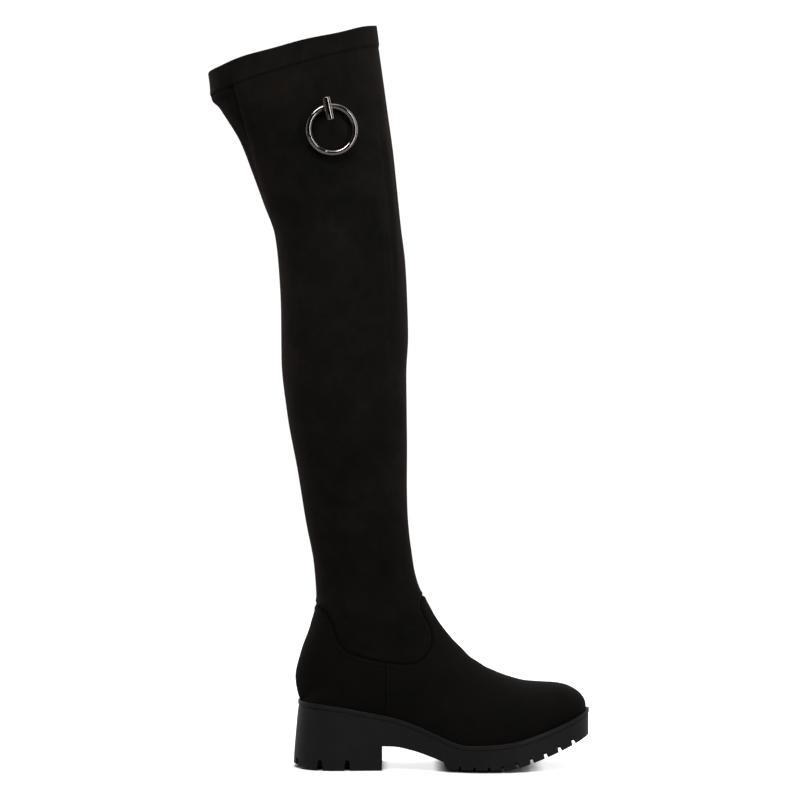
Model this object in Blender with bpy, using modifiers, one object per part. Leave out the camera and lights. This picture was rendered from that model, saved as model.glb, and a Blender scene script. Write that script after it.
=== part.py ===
"""Right thigh-high boot: a stretch shaft let into a foot upper, on a moulded sole with a block heel.

Metres. +X points to the toe, -Y to the outer side of the leg and +Z up. The origin is on the
ground under the middle of the heel. The upper and the shaft are one skin of ribs: each rib runs
from the ridge of the foot or the front of the leg down to the sole's edge or the back of the leg.
"""

import math

import bmesh
import bpy
import numpy as np
from mathutils import Matrix, Vector

NAME = "thigh_high_boot"
GAP = 0.0003  # clearance between pieces that touch
OVER = 0.002  # how far a cutter runs past what it cuts

# Sole
SOLE_LENGTH = 0.2568  # of the top rim, from the heel's back to the toe
HEEL_BASE = 0.078  # length of the heel at the ground
HEEL_FLARE = 0.004  # how far the heel's back leans out from the rim to the ground
HEEL_WIDTH = 0.067
BALL_WIDTH = 0.097
HEEL_HEIGHT = 0.0590  # ground to rim, at the heel's back
PLATFORM = 0.0232  # ground to rim, under the ball
TOE_EDGE = 0.0228  # height of the sole's edge at the toe
TOE_SPRING = 0.0284  # ground to the sole's lower edge at the toe
TOE_SWING = 0.007  # how far the toe lies inward of the heel's centre line
WAIST_RISE = 0.0212  # ground to the underside, just before the heel
TREAD_STEP = 0.0070  # height of the step where the forefoot tread begins
HEEL_ROLL = 0.0040  # lift of the heel's rear edge
HEEL_ROLL_LENGTH = 0.020  # of the underside that lifts
HEEL_ROUND = 0.037  # length of the round end of the heel
HEEL_POWER = 2.2  # of its superellipse: 2 is an ellipse, more is squarer
TOE_ROUND = 0.070
TOE_POWER = 2.1
SPRING_SLOPE = 0.58  # share of the toe spring that rises evenly; the rest rises by the square

# Rim of the sole
LIP_HEIGHT = 0.0036
LIP_CREST = 0.0012  # how far the lip stands over the seat that it surrounds
LIP_WIDTH = 0.0022
SEAT_GAP = 0.0005  # between the upper's lower edge and the sole, whose curves are drawn separately
LIP_ROUND = 0.0006
RIM_GROOVE = 0.0009  # depth of the groove under the lip
RIM_GROOVE_HEIGHT = 0.0010
WALL_INSET = 0.0005  # how far the wall below lies inside the lip

# Tread
HEEL_NOTCH = 0.0054  # width of a heel notch at the ground
HEEL_NOTCH_TOP = 0.0029
HEEL_NOTCH_HEIGHT = 0.0082
HEEL_NOTCH_REACH = 0.015
LUG_PITCH = 0.01255
FIRST_LUG_GAP = 0.551  # shares of the sole's length
LAST_LUG_GAP = 0.965
LUG_GAP = 0.0032
LUG_GAP_TOP = 0.0026
LUG_HEIGHT = 0.0054
LUG_REACH = 0.024
TREAD_BEVEL = 0.007  # how far the forefoot tread's lower edge draws in
TREAD_BEVEL_HEIGHT = 0.0026

# Skin
UPPER_WALL = 0.0020
SHAFT_WALL = 0.0015
BULGE = 0.0012  # how far the foot's side stands out past its lower edge
BULGE_RISE = 0.020  # rib height at which the bulge is full
SOFT_TURN = 0.002  # over which the ribs' width passes from the sole's edge to the leg's least width
NOSE_SPREAD = 0.3  # how much wider than its edge the first rib's ellipse is
TOE_HEIGHT = 0.041  # of the toe box over the sole's edge
INSTEP_HEIGHT = 0.117  # of the bend of the instep over the sole's edge
RIDGE_SHIFT = 0.005  # how far the foot's ridge lies toward the inner side
SHAFT_HEIGHT = 0.4968  # bend of the instep to the collar's front
COLLAR_DROP = 0.0416  # how much lower the collar's back is than its front
COLLAR_DIP = 0.0036  # how far the collar's sides sag below the line from its front to its back
DIP_RIBS = 5.0  # ribs below the collar over which the sag fades
ANKLE_X = 0.020  # middle of the leg at the ankle
SHAFT_LEAN = 0.060  # how far the collar's middle lies behind the ankle's
ANKLE_DEPTH = 0.088
ANKLE_WIDTH = 0.076
CALF_DEPTH = 0.112
CALF_WIDTH = 0.104
COLLAR_DEPTH = 0.147
COLLAR_WIDTH = 0.119
HEM_DEPTH = 0.019
HEM_STEP = 0.0009  # extra thickness of the turned hem

# Insole
INSOLE_THICKNESS = 0.003
INSOLE_MARGIN = 0.0025  # between the insole's edge and the upper's inner face

# Ring and stud
RING_RADIUS = 0.0201  # to the wire's centre
RING_WIRE = 0.0051
BAR_LENGTH = 0.0198
BAR_DIAMETER = 0.0068
BAR_LIFT = 0.0018  # bar's centre above its post
BAR_EDGE = 0.0006
POST_DIAMETER = 0.0024
STUD_TILT = math.radians(12)  # lean of the bar, top to the back
RING_TILT = math.radians(14)
BACK_PLATE = 0.008
BACK_PLATE_THICKNESS = 0.0008
STUD_RIB = 34.18  # rib that the post stands on
STUD_ROUND = 0.428  # place along that rib, from front to back

REAR = HEEL_FLARE - HEEL_BASE / 2
BREAST = HEEL_BASE / 2
TOE_RISE = TOE_SPRING + TOE_EDGE - PLATFORM

# Sole's rim from heel to toe: share of the length, share of the heel's and of the toe's rise
RIM = (
    (0.000, 1.000, 0.000),
    (0.067, 0.965, 0.000),
    (0.134, 0.905, 0.000),
    (0.234, 0.770, 0.000),
    (0.328, 0.630, 0.000),
    (0.373, 0.535, 0.000),
    (0.418, 0.412, 0.000),
    (0.463, 0.275, 0.000),
    (0.508, 0.135, 0.000),
    (0.542, 0.045, 0.000),
    (0.580, 0.000, 0.000),
    (0.680, 0.000, 0.043),
    (0.738, 0.000, 0.120),
    (0.835, 0.000, 0.370),
    (0.895, 0.000, 0.560),
    (0.956, 0.000, 0.790),
    (1.000, 0.000, 1.000),
)

# Sole's plan: share of the length, half width before the ends are rounded, centre's share of the swing
PLAN = (
    (0.00, 0.500 * HEEL_WIDTH, 0.00),
    (0.14, 0.500 * HEEL_WIDTH, 0.00),
    (0.30, 0.465 * HEEL_WIDTH, -0.04),
    (0.41, 0.345 * BALL_WIDTH, -0.14),
    (0.52, 0.412 * BALL_WIDTH, -0.25),
    (0.63, 0.478 * BALL_WIDTH, -0.18),
    (0.74, 0.487 * BALL_WIDTH, 0.28),
    (0.84, 0.452 * BALL_WIDTH, 0.64),
    (0.92, 0.432 * BALL_WIDTH, 0.89),
    (1.00, 0.420 * BALL_WIDTH, 1.00),
)

# Underside of the waist: share of the way from the heel's breast to the tread, height
WAIST = (
    (0.00, 1.00 * WAIST_RISE),
    (0.18, 0.99 * WAIST_RISE),
    (0.48, 0.85 * WAIST_RISE),
    (0.72, 0.66 * WAIST_RISE),
    (1.00, 1.20 * TREAD_STEP),
)
TREAD_START = 0.500  # shares of the sole's length
TREAD_FLAT_START = 0.575
TREAD_FLAT_END = 0.680

# Notches of the heel: X and Y of the middle, turn about Z
HEEL_NOTCHES = (
    (-0.190 * HEEL_BASE, 0.50 * HEEL_WIDTH, 0),
    (0.115 * HEEL_BASE, 0.50 * HEEL_WIDTH, 0),
    (-0.500 * HEEL_BASE, 0.26 * HEEL_WIDTH, 60),
)

# Ribs of the foot from toe to heel: share of the length at the ridge, height there over the sole's
# edge, share of the length at the sole, least half width, ridge's shift and fullness
FOOT = (
    (0.9894, 0.00 * TOE_HEIGHT, 0.9830, 0.00 * ANKLE_WIDTH, 0.0, 1.00),
    (0.9888, 0.09 * TOE_HEIGHT, 0.9760, 0.00 * ANKLE_WIDTH, 0.0, 0.96),
    (0.9850, 0.20 * TOE_HEIGHT, 0.9640, 0.00 * ANKLE_WIDTH, 0.0, 0.90),
    (0.9720, 0.37 * TOE_HEIGHT, 0.9440, 0.00 * ANKLE_WIDTH, 0.2, 0.86),
    (0.9490, 0.55 * TOE_HEIGHT, 0.9160, 0.00 * ANKLE_WIDTH, 0.4, 0.83),
    (0.9200, 0.71 * TOE_HEIGHT, 0.8790, 0.00 * ANKLE_WIDTH, 0.6, 0.83),
    (0.8830, 0.845 * TOE_HEIGHT, 0.8360, 0.00 * ANKLE_WIDTH, 0.8, 0.84),
    (0.8360, 0.965 * TOE_HEIGHT, 0.7850, 0.00 * ANKLE_WIDTH, 0.9, 0.86),
    (0.7850, 0.382 * INSTEP_HEIGHT, 0.7270, 0.00 * ANKLE_WIDTH, 1.0, 0.90),
    (0.7300, 0.441 * INSTEP_HEIGHT, 0.6600, 0.00 * ANKLE_WIDTH, 1.0, 0.95),
    (0.6780, 0.500 * INSTEP_HEIGHT, 0.5900, 0.00 * ANKLE_WIDTH, 1.0, 1.00),
    (0.6290, 0.564 * INSTEP_HEIGHT, 0.5160, 0.30 * ANKLE_WIDTH, 1.0, 1.05),
    (0.5860, 0.634 * INSTEP_HEIGHT, 0.4380, 0.42 * ANKLE_WIDTH, 1.0, 1.08),
    (0.5490, 0.706 * INSTEP_HEIGHT, 0.3600, 0.43 * ANKLE_WIDTH, 0.9, 1.08),
    (0.5180, 0.756 * INSTEP_HEIGHT, 0.2850, 0.44 * ANKLE_WIDTH, 0.7, 1.06),
    (0.4880, 0.812 * INSTEP_HEIGHT, 0.2150, 0.45 * ANKLE_WIDTH, 0.5, 1.04),
    (0.4630, 0.874 * INSTEP_HEIGHT, 0.1480, 0.46 * ANKLE_WIDTH, 0.3, 1.02),
    (0.4430, 0.936 * INSTEP_HEIGHT, 0.0820, 0.465 * ANKLE_WIDTH, 0.1, 1.00),
    (0.4310, 0.968 * INSTEP_HEIGHT, 0.0370, 0.47 * ANKLE_WIDTH, 0.0, 1.00),
    (0.4195, 1.000 * INSTEP_HEIGHT, 0.0100, 0.475 * ANKLE_WIDTH, 0.0, 1.00),
)
HEEL_RIB = len(FOOT) - 1

HEM_SHARE = 1 - HEM_DEPTH / SHAFT_HEIGHT

# Ribs of the leg from the bend to the collar: share of the front's rise, share of the back's rise,
# share of the lean, depth and half width. The last two rows are the hem's lower edge and the collar.
LEG = (
    (0.031, 0.037, 0.08, 1.195 * ANKLE_DEPTH, 0.480 * ANKLE_WIDTH),
    (0.063, 0.077, 0.06, 1.114 * ANKLE_DEPTH, 0.485 * ANKLE_WIDTH),
    (0.101, 0.121, 0.01, 0.989 * ANKLE_DEPTH, 0.492 * ANKLE_WIDTH),
    (0.143, 0.164, -0.02, 0.914 * ANKLE_DEPTH, 0.500 * ANKLE_WIDTH),
    (0.192, 0.215, 0.00, 0.931 * ANKLE_DEPTH, 0.520 * ANKLE_WIDTH),
    (0.252, 0.286, 0.06, 1.016 * ANKLE_DEPTH, 0.565 * ANKLE_WIDTH),
    (0.316, 0.364, 0.12, 0.857 * CALF_DEPTH, 0.452 * CALF_WIDTH),
    (0.383, 0.455, 0.20, 0.937 * CALF_DEPTH, 0.485 * CALF_WIDTH),
    (0.449, 0.542, 0.23, 0.997 * CALF_DEPTH, 0.500 * CALF_WIDTH),
    (0.514, 0.618, 0.24, 0.993 * CALF_DEPTH, 0.492 * CALF_WIDTH),
    (0.578, 0.686, 0.27, 0.996 * CALF_DEPTH, 0.482 * CALF_WIDTH),
    (0.642, 0.740, 0.33, 0.992 * CALF_DEPTH, 0.482 * CALF_WIDTH),
    (0.707, 0.791, 0.44, 1.050 * CALF_DEPTH, 0.496 * CALF_WIDTH),
    (0.775, 0.842, 0.555, 0.846 * COLLAR_DEPTH, 0.450 * COLLAR_WIDTH),
    (0.846, 0.891, 0.685, 0.886 * COLLAR_DEPTH, 0.467 * COLLAR_WIDTH),
    (0.916, 0.940, 0.863, 0.966 * COLLAR_DEPTH, 0.484 * COLLAR_WIDTH),
    (HEM_SHARE, HEM_SHARE, 0.948, 0.992 * COLLAR_DEPTH, 0.493 * COLLAR_WIDTH),
    (1.000, 1.000, 1.000, 1.000 * COLLAR_DEPTH, 0.500 * COLLAR_WIDTH),
)
COLLAR_RIB = HEEL_RIB + len(LEG)
HEM_RIB = COLLAR_RIB - 1

# Seam between upper and shaft in side view, from the tip of the front tab, down round the ankle and
# up to the tip of the heel tab: X ahead of the bend as a share of the ankle's depth, depth below
# the bend as a share of the instep's height
SEAM = (
    (0.400, -0.100),
    (0.022, 0.045),
    (0.004, 0.115),
    (0.046, 0.195),
    (0.102, 0.285),
    (0.116, 0.360),
    (0.088, 0.430),
    (0.020, 0.495),
    (-0.070, 0.525),
    (-0.170, 0.532),
    (-0.290, 0.520),
    (-0.440, 0.502),
    (-0.590, 0.473),
    (-0.730, 0.430),
    (-0.815, 0.352),
    (-0.870, 0.240),
    (-0.940, 0.145),
    (-1.030, 0.110),
    (-1.400, 0.080),
)

SOLE_STATIONS = 44  # mesh points along each side of the sole
INSOLE_STATIONS = 24
COLUMNS = 14  # mesh columns on each side of the leg
SEAM_POINTS = 56
NEAR = 1e-3  # step, in ribs, shares of a rib or metres, for slopes
TINY = 1e-9
HEM_RAMP = 0.05  # ribs over which the hem's step rises


def through(knots, values, at):
    """Smooth curve through the values, without overshoot, read at the places in `at`."""
    knots = np.asarray(knots, float)
    values = np.asarray(values, float)
    step = np.diff(knots)
    slope = np.diff(values) / step
    before, after = slope[:-1], slope[1:]
    level = before * after <= 0
    near = 2 * step[1:] + step[:-1]
    far = step[1:] + 2 * step[:-1]
    inner = (near + far) / (near / np.where(level, 1, before) + far / np.where(level, 1, after))
    tangent = np.concatenate([slope[:1], np.where(level, 0, inner), slope[-1:]])
    at = np.clip(np.asarray(at, float), knots[0], knots[-1])
    i = np.clip(np.searchsorted(knots, at, side="right") - 1, 0, len(step) - 1)
    u = (at - knots[i]) / step[i]
    rise = values[i + 1] - values[i]
    start, end = tangent[i] * step[i], tangent[i + 1] * step[i]
    return values[i] + u * start + u**2 * (3 * rise - 2 * start - end) + u**3 * (start + end - 2 * rise)


def column(table, name_index, at):
    """A table's column read along its first column."""
    return through([row[0] for row in table], [row[name_index] for row in table], at)


def along(share):
    """World X at a share of the sole's length."""
    return REAR + np.asarray(share) * SOLE_LENGTH


def rim_height(x):
    """Height of the sole's rim."""
    share = (np.asarray(x) - REAR) / SOLE_LENGTH
    heel = column(RIM, 1, share) * (HEEL_HEIGHT - PLATFORM)
    return PLATFORM + heel + column(RIM, 2, share) * TOE_RISE


def seat_height(x):
    """Height of the sole's top face, inside the lip."""
    return rim_height(x) - LIP_CREST


def rounding(reach, length, power):
    """Share of the full width at a distance from a round end: a superellipse."""
    u = np.clip(1 - reach / length, 0, 1)
    return (1 - u**power) ** (1 / power)


def plan(x, inset=0.0, rear=None, bevel=0.0):
    """Outer and inner Y of the sole's outline at X, moved in by an inset, and by a bevel at the forefoot.

    `rear` is where the outline starts, measured from the rim's back, if that isn't the inset."""
    start = REAR + (inset if rear is None else rear)
    end = REAR + SOLE_LENGTH - inset
    x = np.clip(np.asarray(x, float), start, end)
    share = (x - start) / (end - start)
    forefoot = np.clip((x - BREAST) / (along(TREAD_START) - BREAST), 0, 1)
    half = column(PLAN, 1, share) - inset - bevel * forefoot
    half = half * rounding(x - start, HEEL_ROUND, HEEL_POWER) * rounding(end - x, TOE_ROUND, TOE_POWER)
    centre = column(PLAN, 2, share) * TOE_SWING
    return centre - half, centre + half


def stations(start, end, count):
    """X places from heel to toe, closer together where the outline turns."""
    turn = (1 - np.cos(np.linspace(0, math.pi, count))) / 2
    even = np.linspace(0, 1, count)
    return start + (0.65 * turn + 0.35 * even) * (end - start)


def collection(name):
    made = bpy.data.collections.new(name)
    bpy.context.scene.collection.children.link(made)
    return made


def linear(channel):
    return channel / 12.92 if channel <= 0.04045 else ((channel + 0.055) / 1.055) ** 2.4


def material(name, colour, roughness, metallic=0.0):
    """Principled material from an sRGB hex colour."""
    made = bpy.data.materials.new(name)
    made.use_nodes = True
    shader = made.node_tree.nodes["Principled BSDF"]
    channels = [linear(int(colour[i : i + 2], 16) / 255) for i in (1, 3, 5)]
    shader.inputs["Base Color"].default_value = (*channels, 1.0)
    shader.inputs["Roughness"].default_value = roughness
    shader.inputs["Metallic"].default_value = metallic
    made.diffuse_color = (*channels, 1.0)
    return made


def mesh_object(name, vertices, faces, group):
    mesh = bpy.data.meshes.new(name)
    mesh.from_pydata([tuple(v) for v in vertices], [], faces)
    made = bpy.data.objects.new(name, mesh)
    group.objects.link(made)
    return made


def welded(made, distance=1e-6):
    """Join vertices that lie together and drop the faces that collapse."""
    body = bmesh.new()
    body.from_mesh(made.data)
    bmesh.ops.remove_doubles(body, verts=body.verts, dist=distance)
    body.to_mesh(made.data)
    body.free()
    return made


def finish(made, colour, angle=35):
    made.data.materials.clear()
    made.data.materials.append(colour)
    made.data.shade_smooth()
    made.data.set_sharp_from_angle(angle=math.radians(angle))
    return made


def hide_cutter(made):
    made.hide_render = True
    made.display_type = "WIRE"
    return made


def boolean(made, other, operation="DIFFERENCE"):
    cut = made.modifiers.new(operation.title(), "BOOLEAN")
    cut.operation = operation
    cut.solver = "EXACT"
    cut.object = other
    return cut


def prism(name, outline, half_width, group):
    """Flat outline in X and Z, drawn out to both sides along Y."""
    curve = bpy.data.curves.new(name, "CURVE")
    curve.dimensions = "2D"
    curve.fill_mode = "BOTH"
    curve.extrude = half_width
    line = curve.splines.new("POLY")
    line.points.add(len(outline) - 1)
    for point, (x, z) in zip(line.points, outline):
        point.co = (x, z, 0.0, 1.0)
    line.use_cyclic_u = True
    drawn = bpy.data.objects.new(name, curve)
    group.objects.link(drawn)
    bpy.context.view_layer.update()
    solid = bpy.data.meshes.new_from_object(drawn.evaluated_get(bpy.context.evaluated_depsgraph_get()))
    bpy.data.objects.remove(drawn)
    solid.transform(Matrix.Rotation(math.pi / 2, 4, "X"))
    made = bpy.data.objects.new(name, solid)
    group.objects.link(made)
    return outward(welded(made))


def outward(made):
    """Turn a closed mesh's faces to point out."""
    body = bmesh.new()
    body.from_mesh(made.data)
    bmesh.ops.recalc_face_normals(body, faces=body.faces)
    body.to_mesh(made.data)
    body.free()
    return made


def ring_loft(name, rings, group):
    """Solid through stacked rings of the sole's plan, closed by strips across its top and bottom.

    A ring is an array of outer points from heel to toe and an array of inner points likewise."""
    vertices, faces = [], []
    count = len(rings[0][0])
    loop = 2 * count
    for outer, inner in rings:
        vertices.extend(outer)
        vertices.extend(inner[::-1])
    for level in range(len(rings) - 1):
        for i in range(loop):
            a, b = level * loop + i, level * loop + (i + 1) % loop
            faces.append((a, b, b + loop, a + loop))
    top = (len(rings) - 1) * loop
    for i in range(count - 1):
        a, b, c, d = i, i + 1, loop - 2 - i, loop - 1 - i
        faces.append((d, c, b, a))
        faces.append((top + a, top + b, top + c, top + d))
    return outward(welded(mesh_object(name, vertices, faces, group)))


def sole_ring(inset, height, count=SOLE_STATIONS, rear=None, bevel=0.0):
    """One ring of the sole at an inset, with its height given as a function of X."""
    start = REAR + (inset if rear is None else rear)
    x = stations(start, REAR + SOLE_LENGTH - inset, count)
    outer, inner = plan(x, inset, rear, bevel)
    z = height(x) * np.ones_like(x)
    return np.stack([x, outer, z], 1), np.stack([x, inner, z], 1)


def below_rim(depth):
    return lambda x: rim_height(x) - depth


def above_seat(height):
    return lambda x: seat_height(x) + height


def underside(x):
    """Height of the sole's underside ahead of the heel, without its grooves."""
    start, flat, spring = along(TREAD_START), along(TREAD_FLAT_START), along(TREAD_FLAT_END)
    toe = along(1.0)
    waist = column(WAIST, 1, (x - BREAST) / (start - BREAST))
    step = TREAD_STEP * (1 - np.clip((x - start) / (flat - start), 0, 1) ** 0.5) ** 2
    ramp = np.clip((x - spring) / (toe - spring), 0, None)
    rise = TOE_SPRING * (SPRING_SLOPE * ramp + (1 - SPRING_SLOPE) * ramp**2)
    return np.where(x < start, waist, step + rise)


def sole_profile():
    """Outline of what is cut away below the waist and under the toe."""
    start, flat, spring = along(TREAD_START), along(TREAD_FLAT_START), along(TREAD_FLAT_END)
    toe = along(1.0) + 2 * OVER
    waist_x = np.linspace(BREAST, start, 9)
    step_x = start + (flat - start) * np.linspace(0, 1, 6) ** 2
    spring_x = np.linspace(spring, toe, 8)
    points = [(BREAST, -OVER)]
    points += [(x, float(underside(x - TINY))) for x in waist_x]
    points += [(x, float(underside(x))) for x in step_x]
    points += [(flat, -OVER)]
    front = [(spring, -OVER)]
    front += [(x, float(underside(x))) for x in spring_x]
    front += [(toe, -OVER)]
    return points, front


def heel_roll_profile():
    """Outline of the sliver taken off under the heel's rear edge."""
    rear = -HEEL_BASE / 2
    start = rear + HEEL_ROLL_LENGTH
    return [(start, 0.0), (start, -OVER), (rear - OVER, -OVER), (rear - OVER, HEEL_ROLL)]


def notch_outline(bottom, top, height):
    return [(-bottom / 2, -OVER), (bottom / 2, -OVER), (top / 2, height), (-top / 2, height)]


def tread_cutters(group):
    """Notches along both edges of the heel and grooves between the lugs of the forefoot."""
    heel = notch_outline(HEEL_NOTCH, HEEL_NOTCH_TOP, HEEL_NOTCH_HEIGHT)
    lug = notch_outline(LUG_GAP, LUG_GAP_TOP, LUG_HEIGHT)
    cutters = []
    for number, (x, y, turn) in enumerate(HEEL_NOTCHES):
        for side in (-1, 1):
            cutter = prism(f"heel_notch_{number}_{side}", heel, HEEL_NOTCH_REACH, group)
            cutter.location = (x, side * y, 0)
            cutter.rotation_euler = (0, 0, side * math.radians(turn))
            cutters.append(cutter)
    first, last = along(FIRST_LUG_GAP), along(LAST_LUG_GAP)
    for number in range(int((last - first) / LUG_PITCH) + 1):
        x = first + number * LUG_PITCH
        outer, inner = plan(x)
        slope = (underside(x + NEAR) - underside(x - NEAR)) / (2 * NEAR)
        for side, edge in ((-1, outer), (1, inner)):
            cutter = prism(f"lug_gap_{number}_{side}", lug, LUG_REACH, group)
            cutter.location = (x, float(edge), float(underside(x)))
            cutter.rotation_euler = (0, -math.atan(slope), 0)
            cutters.append(cutter)
    return [hide_cutter(cutter) for cutter in cutters]


def outsole(group, cutters, colour):
    lip_foot = LIP_HEIGHT + RIM_GROOVE_HEIGHT
    middle = 0.45  # share of the rim's height at which the heel's back takes up the rest of its flare
    rings = [
        sole_ring(WALL_INSET, lambda x: 0.0, rear=-HEEL_FLARE, bevel=TREAD_BEVEL),
        sole_ring(WALL_INSET, lambda x: TREAD_BEVEL_HEIGHT, rear=-0.95 * HEEL_FLARE),
        sole_ring(WALL_INSET, lambda x: middle * rim_height(x), rear=-0.6 * HEEL_FLARE),
        sole_ring(WALL_INSET, below_rim(lip_foot + RIM_GROOVE)),
        sole_ring(RIM_GROOVE, below_rim(lip_foot)),
        sole_ring(RIM_GROOVE, below_rim(LIP_HEIGHT + RIM_GROOVE / 2)),
        sole_ring(0.0, below_rim(LIP_HEIGHT)),
        sole_ring(0.0, below_rim(LIP_ROUND)),
        sole_ring(LIP_ROUND, below_rim(0.0)),
        sole_ring(LIP_WIDTH - LIP_ROUND, below_rim(0.0)),
        sole_ring(LIP_WIDTH, below_rim(LIP_CREST)),
    ]
    made = ring_loft("outsole", rings, group)
    waist, front = sole_profile()
    reach = BALL_WIDTH
    for name, outline in (("waist_cut", waist), ("toe_cut", front), ("heel_cut", heel_roll_profile())):
        boolean(made, hide_cutter(prism(name, outline, reach, cutters)))
    for cutter in tread_cutters(cutters):
        boolean(made, cutter)
    return finish(made, colour)


def insole(group, colour):
    """Flat board that lies on the seat, inside the upper's wall."""
    inset = LIP_WIDTH + SEAT_GAP + UPPER_WALL + INSOLE_MARGIN
    bevel = 0.3 * INSOLE_THICKNESS
    levels = ((inset, 0.0), (inset, INSOLE_THICKNESS - bevel), (inset + bevel, INSOLE_THICKNESS))
    rings = [sole_ring(edge, above_seat(GAP + height), INSOLE_STATIONS) for edge, height in levels]
    return finish(ring_loft("insole", rings, group), colour)


def rib_table():
    """A row for each rib: ridge X and Z, base X and Z, half width, ridge Y, ridge's shift, fullness."""
    rows = []
    for ridge, height, base, half, shift, full in FOOT:
        x, base_x = float(along(ridge)), float(along(base))
        y = float(column(PLAN, 2, ridge)) * TOE_SWING
        z, base_z = float(rim_height(x)) + height, float(seat_height(base_x)) + SEAT_GAP
        rows.append((x, z, base_x, base_z, half, y, shift, full))
    bend_z, heel_z = rows[-1][1], rows[-1][3]
    back_rise = bend_z + SHAFT_HEIGHT - COLLAR_DROP - heel_z
    for front, back, lean, depth, half in LEG:
        middle = ANKLE_X - lean * SHAFT_LEAN
        z, base_z = bend_z + front * SHAFT_HEIGHT, heel_z + back * back_rise
        rows.append((middle + depth / 2, z, middle - depth / 2, base_z, half, 0.0, 0.0, 1.0))
    return np.array(rows)


RIBS = rib_table()


def rib(s, index):
    return through(np.arange(len(RIBS)), RIBS[:, index], s)


def skin(s, t, side):
    """Point of the boot's skin on rib s, at share t of the way from its ridge to its base.

    In side view a rib is a straight line. Seen along it, its half is part of an ellipse that
    goes on past its widest place until it meets the sole's edge or, on the leg, the back. The
    first rib lies on the sole's edge round the nose of the toe, and stops short of its widest place."""
    s = np.asarray(s, float)
    t = np.asarray(t, float)
    ridge_x, ridge_z, base_x, base_z = (rib(s, i) for i in range(4))
    full = rib(s, 7)
    ridge_y = rib(s, 5) + rib(s, 6) * RIDGE_SHIFT
    on_sole = s < HEEL_RIB
    base_z = np.where(on_sole, seat_height(base_x) + SEAT_GAP, base_z)
    outer, inner = plan(base_x, LIP_WIDTH + SEAT_GAP)
    centre = np.where(on_sole, (outer + inner) / 2, 0.0)
    edge = np.where(on_sole, (inner - outer) / 2, 0.0)
    nose = np.clip(1 - s, 0, 1)
    bulge = BULGE * np.clip((ridge_z - base_z) / BULGE_RISE, 0, 1) * (1 - nose)
    wide = edge * (1 + NOSE_SPREAD * nose) + bulge
    least = rib(s, 4)
    turn = np.sqrt((wide - least) ** 2 + SOFT_TURN**2 * (least > 0))
    half = np.where(on_sole, (wide + least + turn) / 2, least)
    widest = centre + side * half - ridge_y
    foot = centre + side * edge - ridge_y
    share = np.clip(foot / np.where(np.abs(widest) < TINY, TINY, widest), 0, 1)
    end = np.arcsin(share ** (1 / full))
    end = np.where(nose > 0, end, math.pi - end)
    angle = t * end
    q = (1 - np.cos(angle)) / np.maximum(1 - np.cos(end), TINY)
    x = ridge_x + (base_x - ridge_x) * q
    y = ridge_y + widest * np.sin(angle) ** full
    sag = COLLAR_DIP * np.clip(1 - (COLLAR_RIB - s) / DIP_RIBS, 0, 1)
    z = ridge_z + (base_z - ridge_z) * q - sag * np.sin(angle) * np.cos(angle / 2)
    return np.stack(np.broadcast_arrays(x, y, z), -1)


def skin_normal(s, t, side):
    """Outward normal of the leg's skin, which lies in the side view's plane at the front and the back."""
    inside = np.clip(t, 2 * NEAR, 1 - 2 * NEAR)
    up = skin(s + NEAR, inside, side) - skin(s - NEAR, inside, side)
    back = skin(s, inside + NEAR, side) - skin(s, inside - NEAR, side)
    normal = np.cross(back, up) * np.atleast_1d(side)[:, None]
    normal[:, 1] *= inside == t
    return normal / np.linalg.norm(normal, axis=-1, keepdims=True)


def seam_line(out):
    """The seam's line in X and Z, moved toward the upper by `out`."""
    bend_x, bend_z = RIBS[HEEL_RIB][:2]
    at = np.linspace(0, len(SEAM) - 1, SEAM_POINTS)
    x = bend_x + through(range(len(SEAM)), [row[0] for row in SEAM], at) * ANKLE_DEPTH
    z = bend_z - through(range(len(SEAM)), [row[1] for row in SEAM], at) * INSTEP_HEIGHT
    step_x, step_z = np.gradient(x), np.gradient(z)
    length = np.hypot(step_x, step_z)
    return x - out * step_z / length, z + out * step_x / length


def seam_prism(name, out, group):
    """Block that holds all of the shaft and nothing of the upper, with the seam as its lower side."""
    x, z = seam_line(out)
    top = RIBS[COLLAR_RIB][1] + HEM_DEPTH
    back = RIBS[COLLAR_RIB][2] - HEM_DEPTH
    corners = [(back, z[-1]), (back, top), (x[0], top)]
    return hide_cutter(prism(name, list(zip(x, z)) + corners, BALL_WIDTH, group))


def skin_sheet(name, ribs, lift, wall, group):
    """Shell of the skin, from the back of the outer side over the front to the inner side.

    `ribs` gives the rib of each row and `lift` how far the row stands out, which thickens its wall."""
    places = np.linspace(-1, 1, 2 * COLUMNS + 1)
    t, side = np.abs(places), np.where(places > 0, 1, -1)
    across = len(places)
    vertices, faces = [], []
    for place, out in zip(ribs, lift):
        points = skin(place, t, side)
        if out:
            points = points + out * skin_normal(place - 2 * NEAR, t, side)
        vertices.extend(points)
    for i in range(len(ribs) - 1):
        for k in range(across - 1):
            a = i * across + k
            faces.append((a, a + 1, a + across + 1, a + across))
    made = mesh_object(name, vertices, faces, group)
    thickest = wall + max(lift)
    share = made.vertex_groups.new(name="Wall share")
    for i, out in enumerate(lift):
        share.add(range(i * across, (i + 1) * across), (wall + out) / thickest, "REPLACE")
    solid = welded(made).modifiers.new("Wall", "SOLIDIFY")
    solid.thickness = thickest
    solid.vertex_group = share.name
    solid.offset = -1
    solid.use_even_offset = False
    return made


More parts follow.
